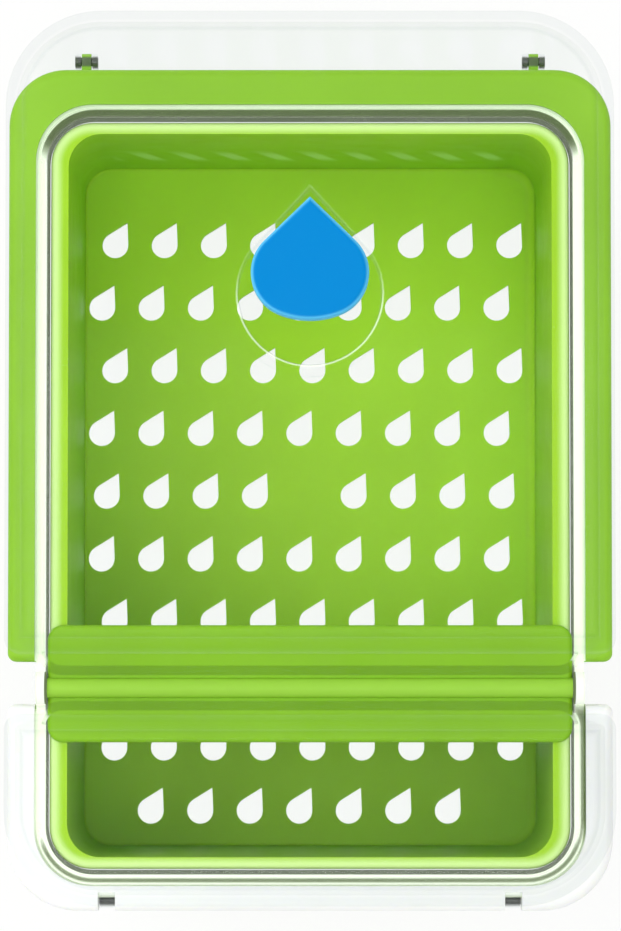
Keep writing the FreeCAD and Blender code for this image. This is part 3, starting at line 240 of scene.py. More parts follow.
def rim_crest_highlight(tree, place):
    """One along the outer two thirds of the basket's rim, where a painted highlight stands for the light
    its round crest takes.
    """
    inside = inside_outline(tree, place, BAND_X, BAND_Y, BAND_CORNER)
    outer = add_node(
        tree, "ShaderNodeMapRange", {"interpolation_type": "SMOOTHSTEP"},
        {"Value": inside, "From Min": CREST_WIDTH[0] * MM, "From Max": CREST_WIDTH[1] * MM},
    )
    high = height_mask(tree, place, *CREST_HEIGHT)
    return add_node(
        tree, "ShaderNodeMath", {"operation": "MULTIPLY"}, {0: outer.outputs["Result"], 1: high}
    ).outputs[0]


def wall_glints(tree, place):
    """A row of nine soft painted glints low on the inner face of the basket's rear wall.

    A cosine along X gives one glint a step. It leans with height, and bands along X, Y and Z
    keep it to the wall's middle, to its inner face and to its lower part.
    """
    split = add_node(tree, "ShaderNodeSeparateXYZ", inputs={0: place})
    slanted = add_node(
        tree, "ShaderNodeMath", {"operation": "MULTIPLY_ADD"},
        {0: split.outputs["Z"], 1: GLINT_LEAN, 2: split.outputs["X"]},
    )
    turned = add_node(
        tree, "ShaderNodeMath", {"operation": "MULTIPLY_ADD"},
        {0: slanted.outputs[0], 1: 2 * math.pi / (GLINT_STEP * MM), 2: 2 * math.pi * GLINT_PHASE},
    )
    wave = add_node(tree, "ShaderNodeMath", {"operation": "COSINE"}, {0: turned.outputs[0]})
    share = add_node(
        tree, "ShaderNodeMapRange", {"interpolation_type": "SMOOTHSTEP"},
        {"Value": wave.outputs[0], "From Min": GLINT_EDGE[0], "From Max": GLINT_EDGE[1],
         "To Max": GLINT_SHARE},
    ).outputs["Result"]
    wide = add_node(tree, "ShaderNodeMath", {"operation": "ABSOLUTE"}, {0: split.outputs["X"]}).outputs[0]
    bands = [
        add_node(
            tree, "ShaderNodeMapRange",
            inputs={"Value": value, "From Min": band[0] * MM, "From Max": band[1] * MM},
        ).outputs["Result"]
        for value, band in (
            (wide, GLINT_HALF), (split.outputs["Y"], GLINT_REAR), (split.outputs["Y"], GLINT_FACE)
        )
    ]
    bands += [height_mask(tree, place, *band) for band in (GLINT_FOOT, GLINT_HEAD)]
    for band in bands:
        both = add_node(tree, "ShaderNodeMath", {"operation": "MULTIPLY"}, {0: share, 1: band})
        share = both.outputs[0]
    return share


def painted_basket_highlights(tree, place):
    """The painted highlight on the rim's crest and the painted glints on the rear wall together."""
    return add_node(
        tree, "ShaderNodeMath", {"operation": "MAXIMUM"},
        {0: rim_crest_highlight(tree, place), 1: wall_glints(tree, place)},
    ).outputs[0]


def plug_top(tree, place):
    """One on the plug's flat top, and zero on its rounded edge, which gets a paler painted highlight."""
    return height_mask(tree, place, *PLUG_FACE)


def ridge_highlight(tree, place):
    """One on the ridge along the bar, above its plate, where it gets a painted highlight."""
    return height_mask(tree, place, *RIDGE_HEIGHT)


def behind_walls(tree, surface, colour, strength):
    """Paints a flat glow of a plain colour on what stands behind more clear walls than light is followed
    through.
    """
    path = add_node(tree, "ShaderNodeLightPath")
    deep = add_node(
        tree, "ShaderNodeMath", {"operation": "GREATER_THAN"},
        {0: path.outputs["Transparent Depth"], 1: CLEAR_WALLS - 0.5},
    )
    plain = add_node(tree, "ShaderNodeEmission", inputs={"Color": colour, "Strength": strength})
    return add_node(
        tree, "ShaderNodeMixShader", inputs={0: deep.outputs[0], 1: surface, 2: plain.outputs[0]}
    ).outputs[0]


def moulded_plastic(
    name, colour, roughness, grain_mm, subsurface, tint_share=0.05, gloss=0.3, crest=None
):
    """Injection-moulded polyolefin: even colour, a fine eroded grain and a soft, slightly uneven sheen.

    The crest is a pair: a function that gives a mask, and the colour that shows under it, as a
    painted highlight on a thin pale edge or painted shade along a dark pin.
    """
    material, tree = new_material(name)
    place = add_node(tree, "ShaderNodeTexCoord").outputs["Object"]
    cloud = add_node(
        tree, "ShaderNodeTexNoise", inputs={"Vector": place, "Scale": 1 / (CLOUD * MM), "Detail": 3.0}
    )
    flow = add_node(
        tree, "ShaderNodeMapRange",
        inputs={"Value": cloud.outputs["Fac"], "From Min": PATCHES[0], "From Max": PATCHES[1]},
    )
    darker = tuple(c * (1 - tint_share) for c in colour)
    lighter = tuple(min(1.0, c * (1 + tint_share)) for c in colour)
    base = add_node(
        tree, "ShaderNodeMix", {"data_type": "RGBA"},
        {"Factor": flow.outputs["Result"], 6: rgba(darker), 7: rgba(lighter)},
    )
    if crest:
        mask, pale = crest
        base = add_node(
            tree, "ShaderNodeMix", {"data_type": "RGBA"},
            {"Factor": mask(tree, place), 6: base.outputs[2], 7: rgba(pale)},
        )
    smear = add_node(
        tree, "ShaderNodeTexNoise", inputs={"Vector": place, "Scale": 1 / (SMEAR * MM), "Detail": 2.0}
    )
    sheen = add_node(
        tree, "ShaderNodeMapRange",
        inputs={"Value": smear.outputs["Fac"], "From Min": PATCHES[0], "From Max": PATCHES[1],
                "To Min": roughness + SHEEN[0], "To Max": roughness + SHEEN[1]},
    )
    grain = add_node(
        tree, "ShaderNodeTexNoise", inputs={"Vector": place, "Scale": 1 / (grain_mm * MM), "Detail": 2.0}
    )
    bump = add_node(
        tree, "ShaderNodeBump",
        inputs={"Height": grain.outputs["Fac"], "Strength": 0.04, "Distance": 0.03 * MM},
    )
    shader = add_node(
        tree, "ShaderNodeBsdfPrincipled",
        inputs={
            "Base Color": base.outputs[2],
            "Roughness": sheen.outputs["Result"],
            "IOR": 1.49,
            "Specular IOR Level": gloss,
            "Subsurface Weight": subsurface,
            "Subsurface Radius": (1.0, 1.2, 0.5),
            "Subsurface Scale": 1.5 * MM,
            "Normal": bump.outputs["Normal"],
        },
    )
    finish_material(tree, behind_walls(tree, shader.outputs["BSDF"], base.outputs[2], PLASTIC_BEHIND))
    return material


def pin_and_shade_mask(tree, place):
    """One along both hinge lines, where a painted dark stands in for the steel pins seen through the lugs
    and paints shade in the narrow gaps between lugs.
    """
    split = add_node(tree, "ShaderNodeSeparateXYZ", inputs={0: place})
    away = add_node(tree, "ShaderNodeMath", {"operation": "ABSOLUTE"}, {0: split.outputs["Y"]})
    shade = add_node(
        tree, "ShaderNodeMapRange",
        inputs={"Value": split.outputs["Y"], "From Min": -MM, "From Max": MM,
                "To Min": CORE_SHARE[0], "To Max": CORE_SHARE[1]},
    )
    off = add_node(
        tree, "ShaderNodeMath", {"operation": "SUBTRACT"}, {0: away.outputs[0], 1: HINGE_Y * MM}
    )
    off = add_node(tree, "ShaderNodeMath", {"operation": "ABSOLUTE"}, {0: off.outputs[0]})
    return add_node(
        tree, "ShaderNodeMapRange", {"interpolation_type": "SMOOTHSTEP"},
        {"Value": off.outputs[0], "From Min": CORE_HALF[0] * MM, "From Max": CORE_HALF[1] * MM,
         "To Max": shade.outputs["Result"]},
    ).outputs["Result"]


def lug_shade(tree, place, surface, colour):
    """Painted dark on the tank's clear hinge lugs along the hinge lines: the pins as they show through
    the lugs, and painted shade between them.
    """
    pin_shade_surface = add_node(
        tree, "ShaderNodeBsdfPrincipled", inputs={"Base Color": rgba(colour), "Roughness": 0.3}
    )
    return add_node(
        tree, "ShaderNodeMixShader",
        inputs={0: pin_and_shade_mask(tree, place), 1: surface, 2: pin_shade_surface.outputs["BSDF"]},
    )


def clear_plastic(name, tint, rim_glow_colour, marked, pin_and_shade_colour=None):
    """Clear styrene plastic, polished in the mould.

    The walls are thin, so sight passes straight through and only the angle decides how much is
    mirrored, and a slanted wall shows a little of the plastic's grey body. Edges and rims get a
    milk-white painted glow, standing in for light that runs inside the walls and leaves there: marked
    pieces carry its share as an attribute, and the tank has it above its rim's height. A negative
    mark paints shade instead, darkening what shows through, as where a wall's end stands over
    something dark.
    """
    material, tree = new_material(name)
    place = add_node(tree, "ShaderNodeTexCoord").outputs["Object"]
    haze = add_node(
        tree, "ShaderNodeTexNoise", inputs={"Vector": place, "Scale": 1 / (HAZE * MM), "Detail": 2.0}
    )
    rough = add_node(
        tree, "ShaderNodeMapRange",
        inputs={"Value": haze.outputs["Fac"], "From Min": HAZE_PATCHES[0], "From Max": HAZE_PATCHES[1],
                "To Min": SHELL_ROUGH[0], "To Max": SHELL_ROUGH[1]},
    )
    mirror = add_node(
        tree, "ShaderNodeBsdfPrincipled",
        inputs={"Base Color": rgba(tint), "Roughness": rough.outputs["Result"], "Metallic": 1.0},
    )
    fresnel = add_node(tree, "ShaderNodeFresnel", inputs={"IOR": SHELL_IOR})
    share = add_node(
        tree, "ShaderNodeMapRange",
        inputs={"Value": fresnel.outputs[0], "From Min": MIRROR_GROWS[0], "From Max": MIRROR_GROWS[1],
                "To Max": MIRROR_MOST},
    )
    fading = add_node(
        tree, "ShaderNodeMapRange",
        inputs={"Value": fresnel.outputs[0], "From Min": MIRROR_FADES[0], "From Max": MIRROR_FADES[1],
                "To Min": 1.0, "To Max": MIRROR_LEAST},
    )
    share = add_node(
        tree, "ShaderNodeMath", {"operation": "MULTIPLY"},
        {0: share.outputs["Result"], 1: fading.outputs["Result"]},
    )
    if marked:
        mark = add_node(tree, "ShaderNodeAttribute", {"attribute_name": MARK}).outputs["Fac"]
    else:
        rim = height_mask(tree, place, *RIM_FACE)
        boss = height_mask(tree, place, *BOSS_FACE)
        inside = inside_outline(tree, place, CAVITY_X, CAVITY_Y, CAVITY_CORNER)
        inner = add_node(
            tree, "ShaderNodeMapRange",
            inputs={"Value": inside, "From Min": LINE_BAND[0] * MM, "From Max": LINE_BAND[1] * MM,
                    "To Min": RIM_SHARE, "To Max": LINE_SHADE},
        )
        rim_glow_and_shade = add_node(
            tree, "ShaderNodeMath", {"operation": "MULTIPLY"}, {0: rim, 1: inner.outputs["Result"]}
        )
        mark = add_node(
            tree, "ShaderNodeMath", {"operation": "MULTIPLY_ADD"},
            {0: boss, 1: BOSS_SHARE - RIM_SHARE, 2: rim_glow_and_shade.outputs[0]},
        ).outputs[0]
    # Above zero the mark paints a milk-white glow; below zero it paints shade on what shows through.
    edge = add_node(tree, "ShaderNodeMath", {"operation": "MAXIMUM"}, {0: mark, 1: 0.0}).outputs[0]
    open_share = add_node(
        tree, "ShaderNodeMapRange", inputs={"Value": mark, "From Min": -1.0, "From Max": 0.0}
    )
    slanted = add_node(
        tree, "ShaderNodeMapRange",
        inputs={"Value": fresnel.outputs[0], "From Min": BODY_GROWS[0], "From Max": BODY_GROWS[1]},
    )
    grazed = add_node(
        tree, "ShaderNodeMapRange",
        inputs={"Value": fresnel.outputs[0], "From Min": BODY_FADES[0], "From Max": BODY_FADES[1],
                "To Min": 1.0, "To Max": 0.0},
    )
    body = add_node(
        tree, "ShaderNodeMath", {"operation": "MULTIPLY"},
        {0: slanted.outputs["Result"], 1: grazed.outputs["Result"]},
    )
    clear = add_node(
        tree, "ShaderNodeMix", {"data_type": "RGBA"},
        {"Factor": body.outputs[0], 6: rgba(CLEAR), 7: rgba(BODY)},
    )
    passed = add_node(
        tree, "ShaderNodeMix", {"data_type": "RGBA"},
        {"Factor": open_share.outputs["Result"], 6: rgba(SHADED), 7: clear.outputs[2]},
    ).outputs[2]
    through = add_node(tree, "ShaderNodeBsdfTransparent", inputs={"Color": passed})
    walls = add_node(
        tree, "ShaderNodeMixShader",
        inputs={0: share.outputs[0], 1: through.outputs[0], 2: mirror.outputs["BSDF"]},
    )
    glowing_end_face = add_node(
        tree, "ShaderNodeBsdfPrincipled",
        inputs={
            "Base Color": rgba(rim_glow_colour), "Roughness": 0.35, "Specular IOR Level": 0.3,
            "Emission Color": rgba(rim_glow_colour), "Emission Strength": RIM_GLOW,
        },
    )
    mixed = add_node(
        tree, "ShaderNodeMixShader", inputs={0: edge, 1: walls.outputs[0], 2: glowing_end_face.outputs["BSDF"]}
    )
    if not marked:
        mixed = lug_shade(tree, place, mixed.outputs[0], pin_and_shade_colour)
    finish_material(tree, behind_walls(tree, mixed.outputs[0], SHELL_BEHIND, 1.0))
    return material


def shade_edge_plastic(name, colour):
    """Painted shade on the moulded inside edge of the clear rim: a dark colour standing in for the dark
    gap behind it, into which the edge bends sight.

    The mark says how dark it looks, and a slow noise makes that a little uneven along the edge.
    """
    material, tree = new_material(name)
    place = add_node(tree, "ShaderNodeTexCoord").outputs["Object"]
    drift = add_node(
        tree, "ShaderNodeTexNoise", inputs={"Vector": place, "Scale": 1 / (DRIFT * MM), "Detail": 2.0}
    )
    uneven = add_node(
        tree, "ShaderNodeMapRange",
        inputs={"Value": drift.outputs["Fac"], "From Min": PATCHES[0], "From Max": PATCHES[1],
                "To Min": 0.9, "To Max": 1.05},
    )
    mark = add_node(tree, "ShaderNodeAttribute", {"attribute_name": MARK}).outputs["Fac"]
    share = add_node(
        tree, "ShaderNodeMath", {"operation": "MULTIPLY"}, {0: mark, 1: uneven.outputs["Result"]}
    )
    through = add_node(tree, "ShaderNodeBsdfTransparent", inputs={"Color": rgba(CLEAR)})
    dark = add_node(
        tree, "ShaderNodeBsdfPrincipled", inputs={"Base Color": rgba(colour), "Roughness": 0.3}
    )
    mixed = add_node(
        tree, "ShaderNodeMixShader",
        inputs={0: share.outputs[0], 1: through.outputs[0], 2: dark.outputs["BSDF"]},
    )
    finish_material(tree, mixed.outputs[0])
    return material


def drawn_steel(name, colour):
    """Drawn steel wire: faint lines along its length."""
    material, tree = new_material(name)
    place = add_node(tree, "ShaderNodeTexCoord").outputs["Object"]
    length, width = (1 / (size * MM) for size in WIRE_LINES)
    along = add_node(
        tree, "ShaderNodeMapping", inputs={"Vector": place, "Scale": (length, width, width)}
    )
    lines = add_node(
        tree, "ShaderNodeTexNoise", inputs={"Vector": along.outputs[0], "Scale": 1.0, "Detail": 1.0}
    )
    rough = add_node(
        tree, "ShaderNodeMapRange", inputs={"Value": lines.outputs["Fac"], "To Min": 0.25, "To Max": 0.5}
    )
    shader = add_node(
        tree, "ShaderNodeBsdfPrincipled",
        inputs={"Base Color": rgba(colour), "Metallic": 1.0, "Roughness": rough.outputs["Result"]},
    )
    finish_material(tree, shader.outputs["BSDF"])
    return material


def soft_rubber(name, colour):
    """Thermoplastic rubber: matt, with a dusty fine grain."""
    material, tree = new_material(name)
    place = add_node(tree, "ShaderNodeTexCoord").outputs["Object"]
    grain = add_node(
        tree, "ShaderNodeTexNoise",
        inputs={"Vector": place, "Scale": 1 / (RUBBER_GRAIN * MM), "Detail": 2.0},
    )
    bump = add_node(
        tree, "ShaderNodeBump",
        inputs={"Height": grain.outputs["Fac"], "Strength": 0.2, "Distance": 0.05 * MM},
    )
    shader = add_node(
        tree, "ShaderNodeBsdfPrincipled",
        inputs={"Base Color": rgba(colour), "Roughness": 0.7, "Normal": bump.outputs["Normal"]},
    )
    finish_material(tree, shader.outputs["BSDF"])
    return material


# ---------------------------------------------------------------- surfaces and pieces


def smooth(value):
    """The smooth step 3t^2 - 2t^3 of a value held between zero and one."""
    t = np.clip(value, 0.0, 1.0)
    return t * t * (3 - 2 * t)


def outline(half_x, front, back, front_corner, back_corner):
    """Rings round a rectangle with quarter-circle corners, one ring per row of sizes.

    A corner point is the corner's centre plus its radius times (cos t, sin t); the sides are
    divided evenly between the corners. Rings run counter-clockwise seen from above.
    """
    half_x, front, back, front_corner, back_corner = (
        np.asarray(size, float)[:, None] for size in (half_x, front, back, front_corner, back_corner)
    )
    quarter = np.arange(4).repeat(CORNER_STEPS + 1)
    turn = (np.tile(np.linspace(0, 1, CORNER_STEPS + 1), 4) + quarter) * math.pi / 2
    right = np.isin(quarter, (0, 3))
    rear = np.isin(quarter, (0, 1))
    radius = np.where(rear, back_corner, front_corner)
    x = np.where(right, half_x - radius, radius - half_x) + radius * np.cos(turn)
    y = np.where(rear, back - radius, front + radius) + radius * np.sin(turn)
    last = np.arange(1, 5) * (CORNER_STEPS + 1) - 1
    along = (last[:, None] + np.arange(1, SIDE_STEPS) / SIDE_STEPS).ravel()
    stops = np.sort(np.concatenate([np.arange(len(turn)), along]))
    before = stops.astype(int)
    after = (before + 1) % len(turn)
    share = stops - before
    return tuple(part[:, before] * (1 - share) + part[:, after] * share for part in (x, y))


def drop_ring(angle, middle, radius, tip):
    """A drop seen from above: a circle about its middle, with two tangents that meet at the tip.

    In polar form about the circle's middle, r = R / cos(t - a) within the angle t = acos(R / tip)
    of the tip, which lies behind, and r = R everywhere else.
    """
    off_tip = np.abs(np.arctan2(np.sin(angle - math.pi / 2), np.cos(angle - math.pi / 2)))
    reach = radius / np.cos(np.clip(math.acos(radius / tip) - off_tip, 0, None))
    return reach * np.cos(angle), middle + reach * np.sin(angle)


def skin(name, x, y, z, wrapped, marks=None):
    """A closed mesh from rows of rings in millimetres about the tank's centre.

    Each row joins the next. Wrapped, the last row joins the first; otherwise a pole closes each end.
    Marks are one number per point, kept as the attribute that the material reads.
    """
    rows, around = x.shape
    points = np.stack([x, y + CENTRE_Y, np.broadcast_to(z, x.shape)], axis=-1) * MM
    grid = np.arange(rows * around).reshape(rows, around)
    beyond = np.roll(grid, -1, axis=1)
    lower, lower_beyond = (grid, beyond) if wrapped else (grid[:-1], beyond[:-1])
    upper = np.roll(grid, -1, axis=0)[:len(lower)]
    upper_beyond = np.roll(beyond, -1, axis=0)[:len(lower)]
    faces = np.stack([lower, lower_beyond, upper_beyond, upper], axis=-1).reshape(-1, 4).tolist()
    flat = points.reshape(-1, 3)
    if not wrapped:
        flat = np.vstack([flat, points[[0, -1]].mean(axis=1)])
        for row, pole in ((0, rows * around), (-1, rows * around + 1)):
            ends = np.stack([grid[row], beyond[row], np.full(around, pole)], axis=-1)
            faces += ends.tolist()
    mesh = bpy.data.meshes.new(name)
    mesh.from_pydata(flat, [], faces)
    work = bmesh.new()
    work.from_mesh(mesh)
    bmesh.ops.recalc_face_normals(work, faces=work.faces)
    work.to_mesh(mesh)
    work.free()
    mesh.shade_smooth()
    mesh.set_sharp_from_angle(angle=math.radians(SHARP_DEGREES))
    if marks is not None:
        values = np.broadcast_to(marks, x.shape).ravel()
        values = np.concatenate([values, np.zeros(len(flat) - len(values))])
        mesh.attributes.new(MARK, "FLOAT", "POINT").data.foreach_set("value", values.astype(np.float32))
    piece = bpy.data.objects.new(name, mesh)
    bpy.context.scene.collection.objects.link(piece)
    return piece


def place_piece(piece, material, body):
    """Gives a new piece its material and the body that carries it."""
    piece.data.materials.append(material)
    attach(piece, body)


def dress(node_name, material):
    """Gives a CAD node its finished material."""
    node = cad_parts[node_name]
    node.data.materials.clear()
    node.data.materials.append(material)


# ---------------------------------------------------------------- settings


class KeeperColours(bpy.types.PropertyGroup):
    """Colours of the keeper's mouldings, pins and pads, and of the highlights, glow and shade painted on
    them.
    """

    shell: FloatVectorProperty(
        name="Clear shells", description="Tint of tank and hoods",
        subtype="COLOR", default=linear("FBFDFD"),
    )
    # Painted light: rims of the clear shells seen end-on are painted this milk-white colour and glow with
    # it.
    rim_glow_colour: FloatVectorProperty(
        name="Milky rims", description="Rims of the shells seen end-on",
        subtype="COLOR", default=linear("F2FBE4"),
    )
    # Painted dark along the hinge lines: the pins seen through the clear lugs, and painted shade between
    # the lugs and on the green knuckle.
    pin_and_shade_colour: FloatVectorProperty(
        name="Hinge lugs", description="Lugs darkened by their pins",
        subtype="COLOR", default=linear("4A4D4A"),
    )
    # Painted shade: the dark ring along the inside edge of the tank's rim.
    rim_gap_shade: FloatVectorProperty(
        name="Rim line", description="Dark inside edge of the tank's rim",
        subtype="COLOR", default=linear("4C5A38"),
    )
    basket: FloatVectorProperty(
        name="Basket", description="Basket and drain floor",
        subtype="COLOR", default=linear("A4D62C"),
    )
    # Painted highlight: the pale crest of the basket's rim and the glints on its rear wall.
    painted_basket_highlights: FloatVectorProperty(
        name="Basket rim", description="Pale crest of the basket's rim",
        subtype="COLOR", default=linear("D4F59C"),
    )
    bar: FloatVectorProperty(
        name="Bar", description="Bridge bar",
        subtype="COLOR", default=linear("85BD1C"),
    )
    # Painted highlight on the ridge of the bar.
    bar_ridge_highlight: FloatVectorProperty(
        name="Bar ridge", description="Crest of the bar's ridge",
        subtype="COLOR", default=linear("9ACF40"),
    )
    grip: FloatVectorProperty(
        name="Rear grip", description="Green rim grip",
        subtype="COLOR", default=linear("8BC22C"),
    )
    frosted: FloatVectorProperty(
        name="Front grip", description="Pale frosted rim grip",
        subtype="COLOR", default=linear("F1F2F0"),
    )
    plug: FloatVectorProperty(
        name="Plug", description="Water plug",
        subtype="COLOR", default=linear("007FC4"),
    )
    # Painted highlight: the plug's rounded edge, paler than its blue top.
    plug_edge_highlight: FloatVectorProperty(
        name="Plug edge", description="Paler rounded edge of the plug",
        subtype="COLOR", default=linear("58BCEC"),
    )
    rear_steel: FloatVectorProperty(
        name="Rear pins", description="Blackened steel pins",
        subtype="COLOR", default=linear("3A3C3C"),
    )
    front_steel: FloatVectorProperty(
        name="Front pins", description="Bright steel pins",
        subtype="COLOR", default=linear("8C8E90"),
    )
    seal: FloatVectorProperty(
        name="Seal", description="Seal ring",
        subtype="COLOR", default=linear("D5D9DA"),
    )
    foot: FloatVectorProperty(
        name="Feet", description="Foot pads",
        subtype="COLOR", default=linear("E4E6E6"),
    )


class KeeperSizes(bpy.types.PropertyGroup):
    """Sizes that the stage and the added pieces use."""

    camera_height: FloatProperty(
        name="Camera height", description="Height of the lens over the shelf",
        unit="LENGTH", default=1.070,
    )
    side_lean: FloatProperty(
        name="Side lean", description="How far hood sides lean in, from rim to top",
        unit="LENGTH", default=2.7 * MM,
    )
    end_lean: FloatProperty(
        name="End lean", description="How far hood ends lean in, from rim to top",
        unit="LENGTH", default=1.35 * MM,
    )
    top_corner: FloatProperty(
        name="Top corners", description="Outer corner radius at the hoods' tops",
        unit="LENGTH", default=17.3 * MM,
    )
    cove_small: FloatProperty(
        name="Cove", description="Cove between basket wall and drain floor",
        unit="LENGTH", default=0.7 * MM,
    )
    cove_large: FloatProperty(
        name="Right cove", description="The same cove along the right side",
        unit="LENGTH", default=2.2 * MM,
    )


# ---------------------------------------------------------------- operators


def hood_wall(sizes, top, radius, inset, near, far):
    """One skin of a hood's wall, as rings from the foot to the end of the round at the top.

    Every side moves in evenly with height, the far corners grow from the foot's radius to the
    top's, and the round is a quarter circle. The foot is lifted over the bridge bar at the gap.
    """
    turn = np.linspace(0, math.pi / 2, ROUND_STEPS + 1)
    z = np.concatenate([LEVELS, top - radius + radius * np.sin(turn)])
    inward = np.concatenate([np.zeros(len(LEVELS)), radius * (1 - np.cos(turn))]) + inset
    up = (z - HOOD_FOOT) / (HOOD_TOP - HOOD_FOOT)
    side = sizes.side_lean / MM * up + inward
    end = sizes.end_lean / MM * up + inward
    far_corner = FOOT_CORNER + (sizes.top_corner / MM - FOOT_CORNER) * up - inward
    near_corner = np.maximum(GAP_CORNER - side, LEAST_CORNER)
    x, y = outline(WALL_X - side, near + side, far - end, near_corner, far_corner)
    z = np.repeat(z[:, None], x.shape[1], axis=1)
    lifted = (np.abs(x) < CAVITY_X) & (y - near < GAP_CORNER) & (z < LEVELS[TONGUE_ROWS + 1])
    z = np.where(lifted, BAR_CLEAR + (z - HOOD_FOOT) / BAR_SQUEEZE, z)
    mark = np.zeros(x.shape)
    # The top rounds get a faint painted shade.
    mark[len(LEVELS):-1] = ROUND_SHADE
    return x, y, z, mark


def hood_skins(sizes, near, far, arm_start, foot_marks):
    """The outer skin with the tongue that the rim grip holds, rings across the foot, and the inner skin.

    A ring across the foot lies a share of the way from the outer wall to the inner one. Its mark,
    painted glow above zero and painted shade below, goes smoothly from left to right along X and to
    the far end along Y, and is BAR_SHADE, a painted shade, over the bar.
    """
    outer = hood_wall(sizes, HOOD_TOP, TOP_ROUND, 0.0, near, far)
    inner = hood_wall(sizes, HOOD_TOP - WALL, TOP_ROUND - WALL, WALL, near, far)
    x, y = outer[:2]
    form = (WALL_X + TONGUE, near, far + TONGUE, GAP_CORNER, FOOT_CORNER + TONGUE / 2)
    tongue_x, tongue_y = outline(*[np.full(TONGUE_ROWS, size) for size in form])
    held = y[:TONGUE_ROWS] > near + arm_start
    wall_x, wall_y = x[0].copy(), y[0].copy()
    x[:TONGUE_ROWS] = np.where(held, tongue_x, x[:TONGUE_ROWS])
    y[:TONGUE_ROWS] = np.where(held, tongue_y, y[:TONGUE_ROWS])
    share = np.array(FOOT_SHARES)[:, None]
    right = smooth(wall_x / SIDE_TURN + 0.5)
    end = smooth((wall_y - far + END_START) / END_TURN)
    past_bar = smooth((np.abs(wall_x) - CAVITY_X + BAR_MARGIN) / BAR_TURN)
    past_gap = smooth((wall_y - near - GAP_CORNER) / GAP_TURN)
    off_bar = np.minimum(past_bar + past_gap, 1)
    marks = []
    for at_left, at_right, at_end in zip(*foot_marks):
        side = at_left + (at_right - at_left) * right
        share_there = side + (at_end - side) * end
        marks.append(BAR_SHADE + (share_there - BAR_SHADE) * off_bar)
    marks = np.array(marks)
    foot = (
        wall_x + (inner[0][0] - wall_x) * share,
        wall_y + (inner[1][0] - wall_y) * share,
        np.repeat(outer[2][:1], len(share), axis=0),
        marks[1:-1],
    )
    outer[3][0], inner[3][0] = marks[0], marks[-1]
    return outer, foot, inner


def well_rings(x, y):
    """Rings from the top of the rear hood into its drop-shaped well, through the filler, and out below.

    Each point keeps its direction from the well's middle, taken from the last ring of the top. The
    painted glow and shade of the marks fade towards the tip, where the drop's edge turns away from the
    light.
    """
    angle = np.arctan2(y - WELL_Y, x)
    steep = WELL_TIP / WELL_RADIUS
    rows = []
    for kind, radius, z, mark in WELL_PROFILE:
        if kind == "drop":
            row_x, row_y = drop_ring(angle, WELL_Y, radius, radius * steep)
        else:
            row_x, row_y = radius * np.cos(angle), FILLER_Y + radius * np.sin(angle)
        low = TIP_PART + (1 - TIP_PART) * smooth((WELL_Y + TIP_START - row_y) / TIP_TURN)
        rows.append((row_x, row_y, np.full(len(x), z), mark * low))
    return [np.stack(part) for part in zip(*rows)]


def rear_hood(sizes, material):
    """The rear hood: outer skin, well, inner skin and foot as one wrapped surface."""
    outer, foot, inner = hood_skins(sizes, GAP_REAR, WALL_Y, REAR_ARM_START, REAR_FOOT)
    well = well_rings(outer[0][-1], outer[1][-1])
    x, y, z, mark = (
        np.concatenate([out, pan, back[::-1], end[::-1]])
        for out, pan, back, end in zip(outer, well, inner, foot)
    )
    rear = skin("rear_hood_shell", x, y, z, True, mark)
    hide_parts("rear_hood")
    place_piece(rear, material, "rear_hood")


def front_hood(sizes, material):
    """The front hood, worked out like the rear one with its Y reversed, from inner to outer top."""
    outer, foot, inner = hood_skins(sizes, -GAP_FRONT, WALL_Y, FRONT_ARM_START, FRONT_FOOT)
    x, y, z, mark = (
        np.concatenate([back[::-1], end[::-1], out]) for out, end, back in zip(outer, foot, inner)
    )
    front = skin("front_hood_shell", x, -y, z, False, mark)
    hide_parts("front_hood")
    place_piece(front, material, "front_hood")


def rim_shade_ring(material):
    """The rim's inside edge, a ring of painted shade over the gap: a flat-topped ring with an outer wall,
    a top and an inner wall.
    """
    step = np.array([0.0, 0.0, 1.0, 1.0])
    across, along = CAVITY_X - EDGE_SIDE * step, CAVITY_Y - EDGE_END * step
    corner = CAVITY_CORNER - EDGE_SIDE * step
    x, y = outline(across, -along, along, corner, corner)
    z = RIM - np.array([EDGE_DEPTH, EDGE_DROP, EDGE_DROP, EDGE_DEPTH])[:, None]
    # This ring is painted dark: painted shade over the gap between basket and tank.
    place_piece(skin("tank_rim_edge", x, y, z, True, EDGE_SHADE), material, "base")


def floor_cove(sizes, material):
    """The cove between basket wall and drain floor.

    It is a quarter circle, R - R sin a from the wall and R - R cos a above the floor, whose radius
    R grows towards the right side. One more ring runs along the corner behind it.
    """
    step = np.array([0.0, 1.0])
    corner = FLOOR_CORNER - step
    x, y = outline(FLOOR_X - step, step - FLOOR_Y, FLOOR_Y - step, corner, corner)
    grown = smooth((x[0] - COVE_START) / COVE_TURN)
    radius = (sizes.cove_small + (sizes.cove_large - sizes.cove_small) * grown) / MM
    turn = np.linspace(0, math.pi / 2, ROUND_STEPS + 1)[:, None]
    behind = np.full((1, x.shape[1]), -COVE_OVERLAP)
    inward = np.concatenate([radius * (1 - np.sin(turn)), behind])
    z = FLOOR_TOP + np.concatenate([radius * (1 - np.cos(turn)), behind])
    cove_x, cove_y = x[0] + inward * (x[1] - x[0]), y[0] + inward * (y[1] - y[0])
    place_piece(skin("basket_cove", cove_x, cove_y, z, True), material, "base")


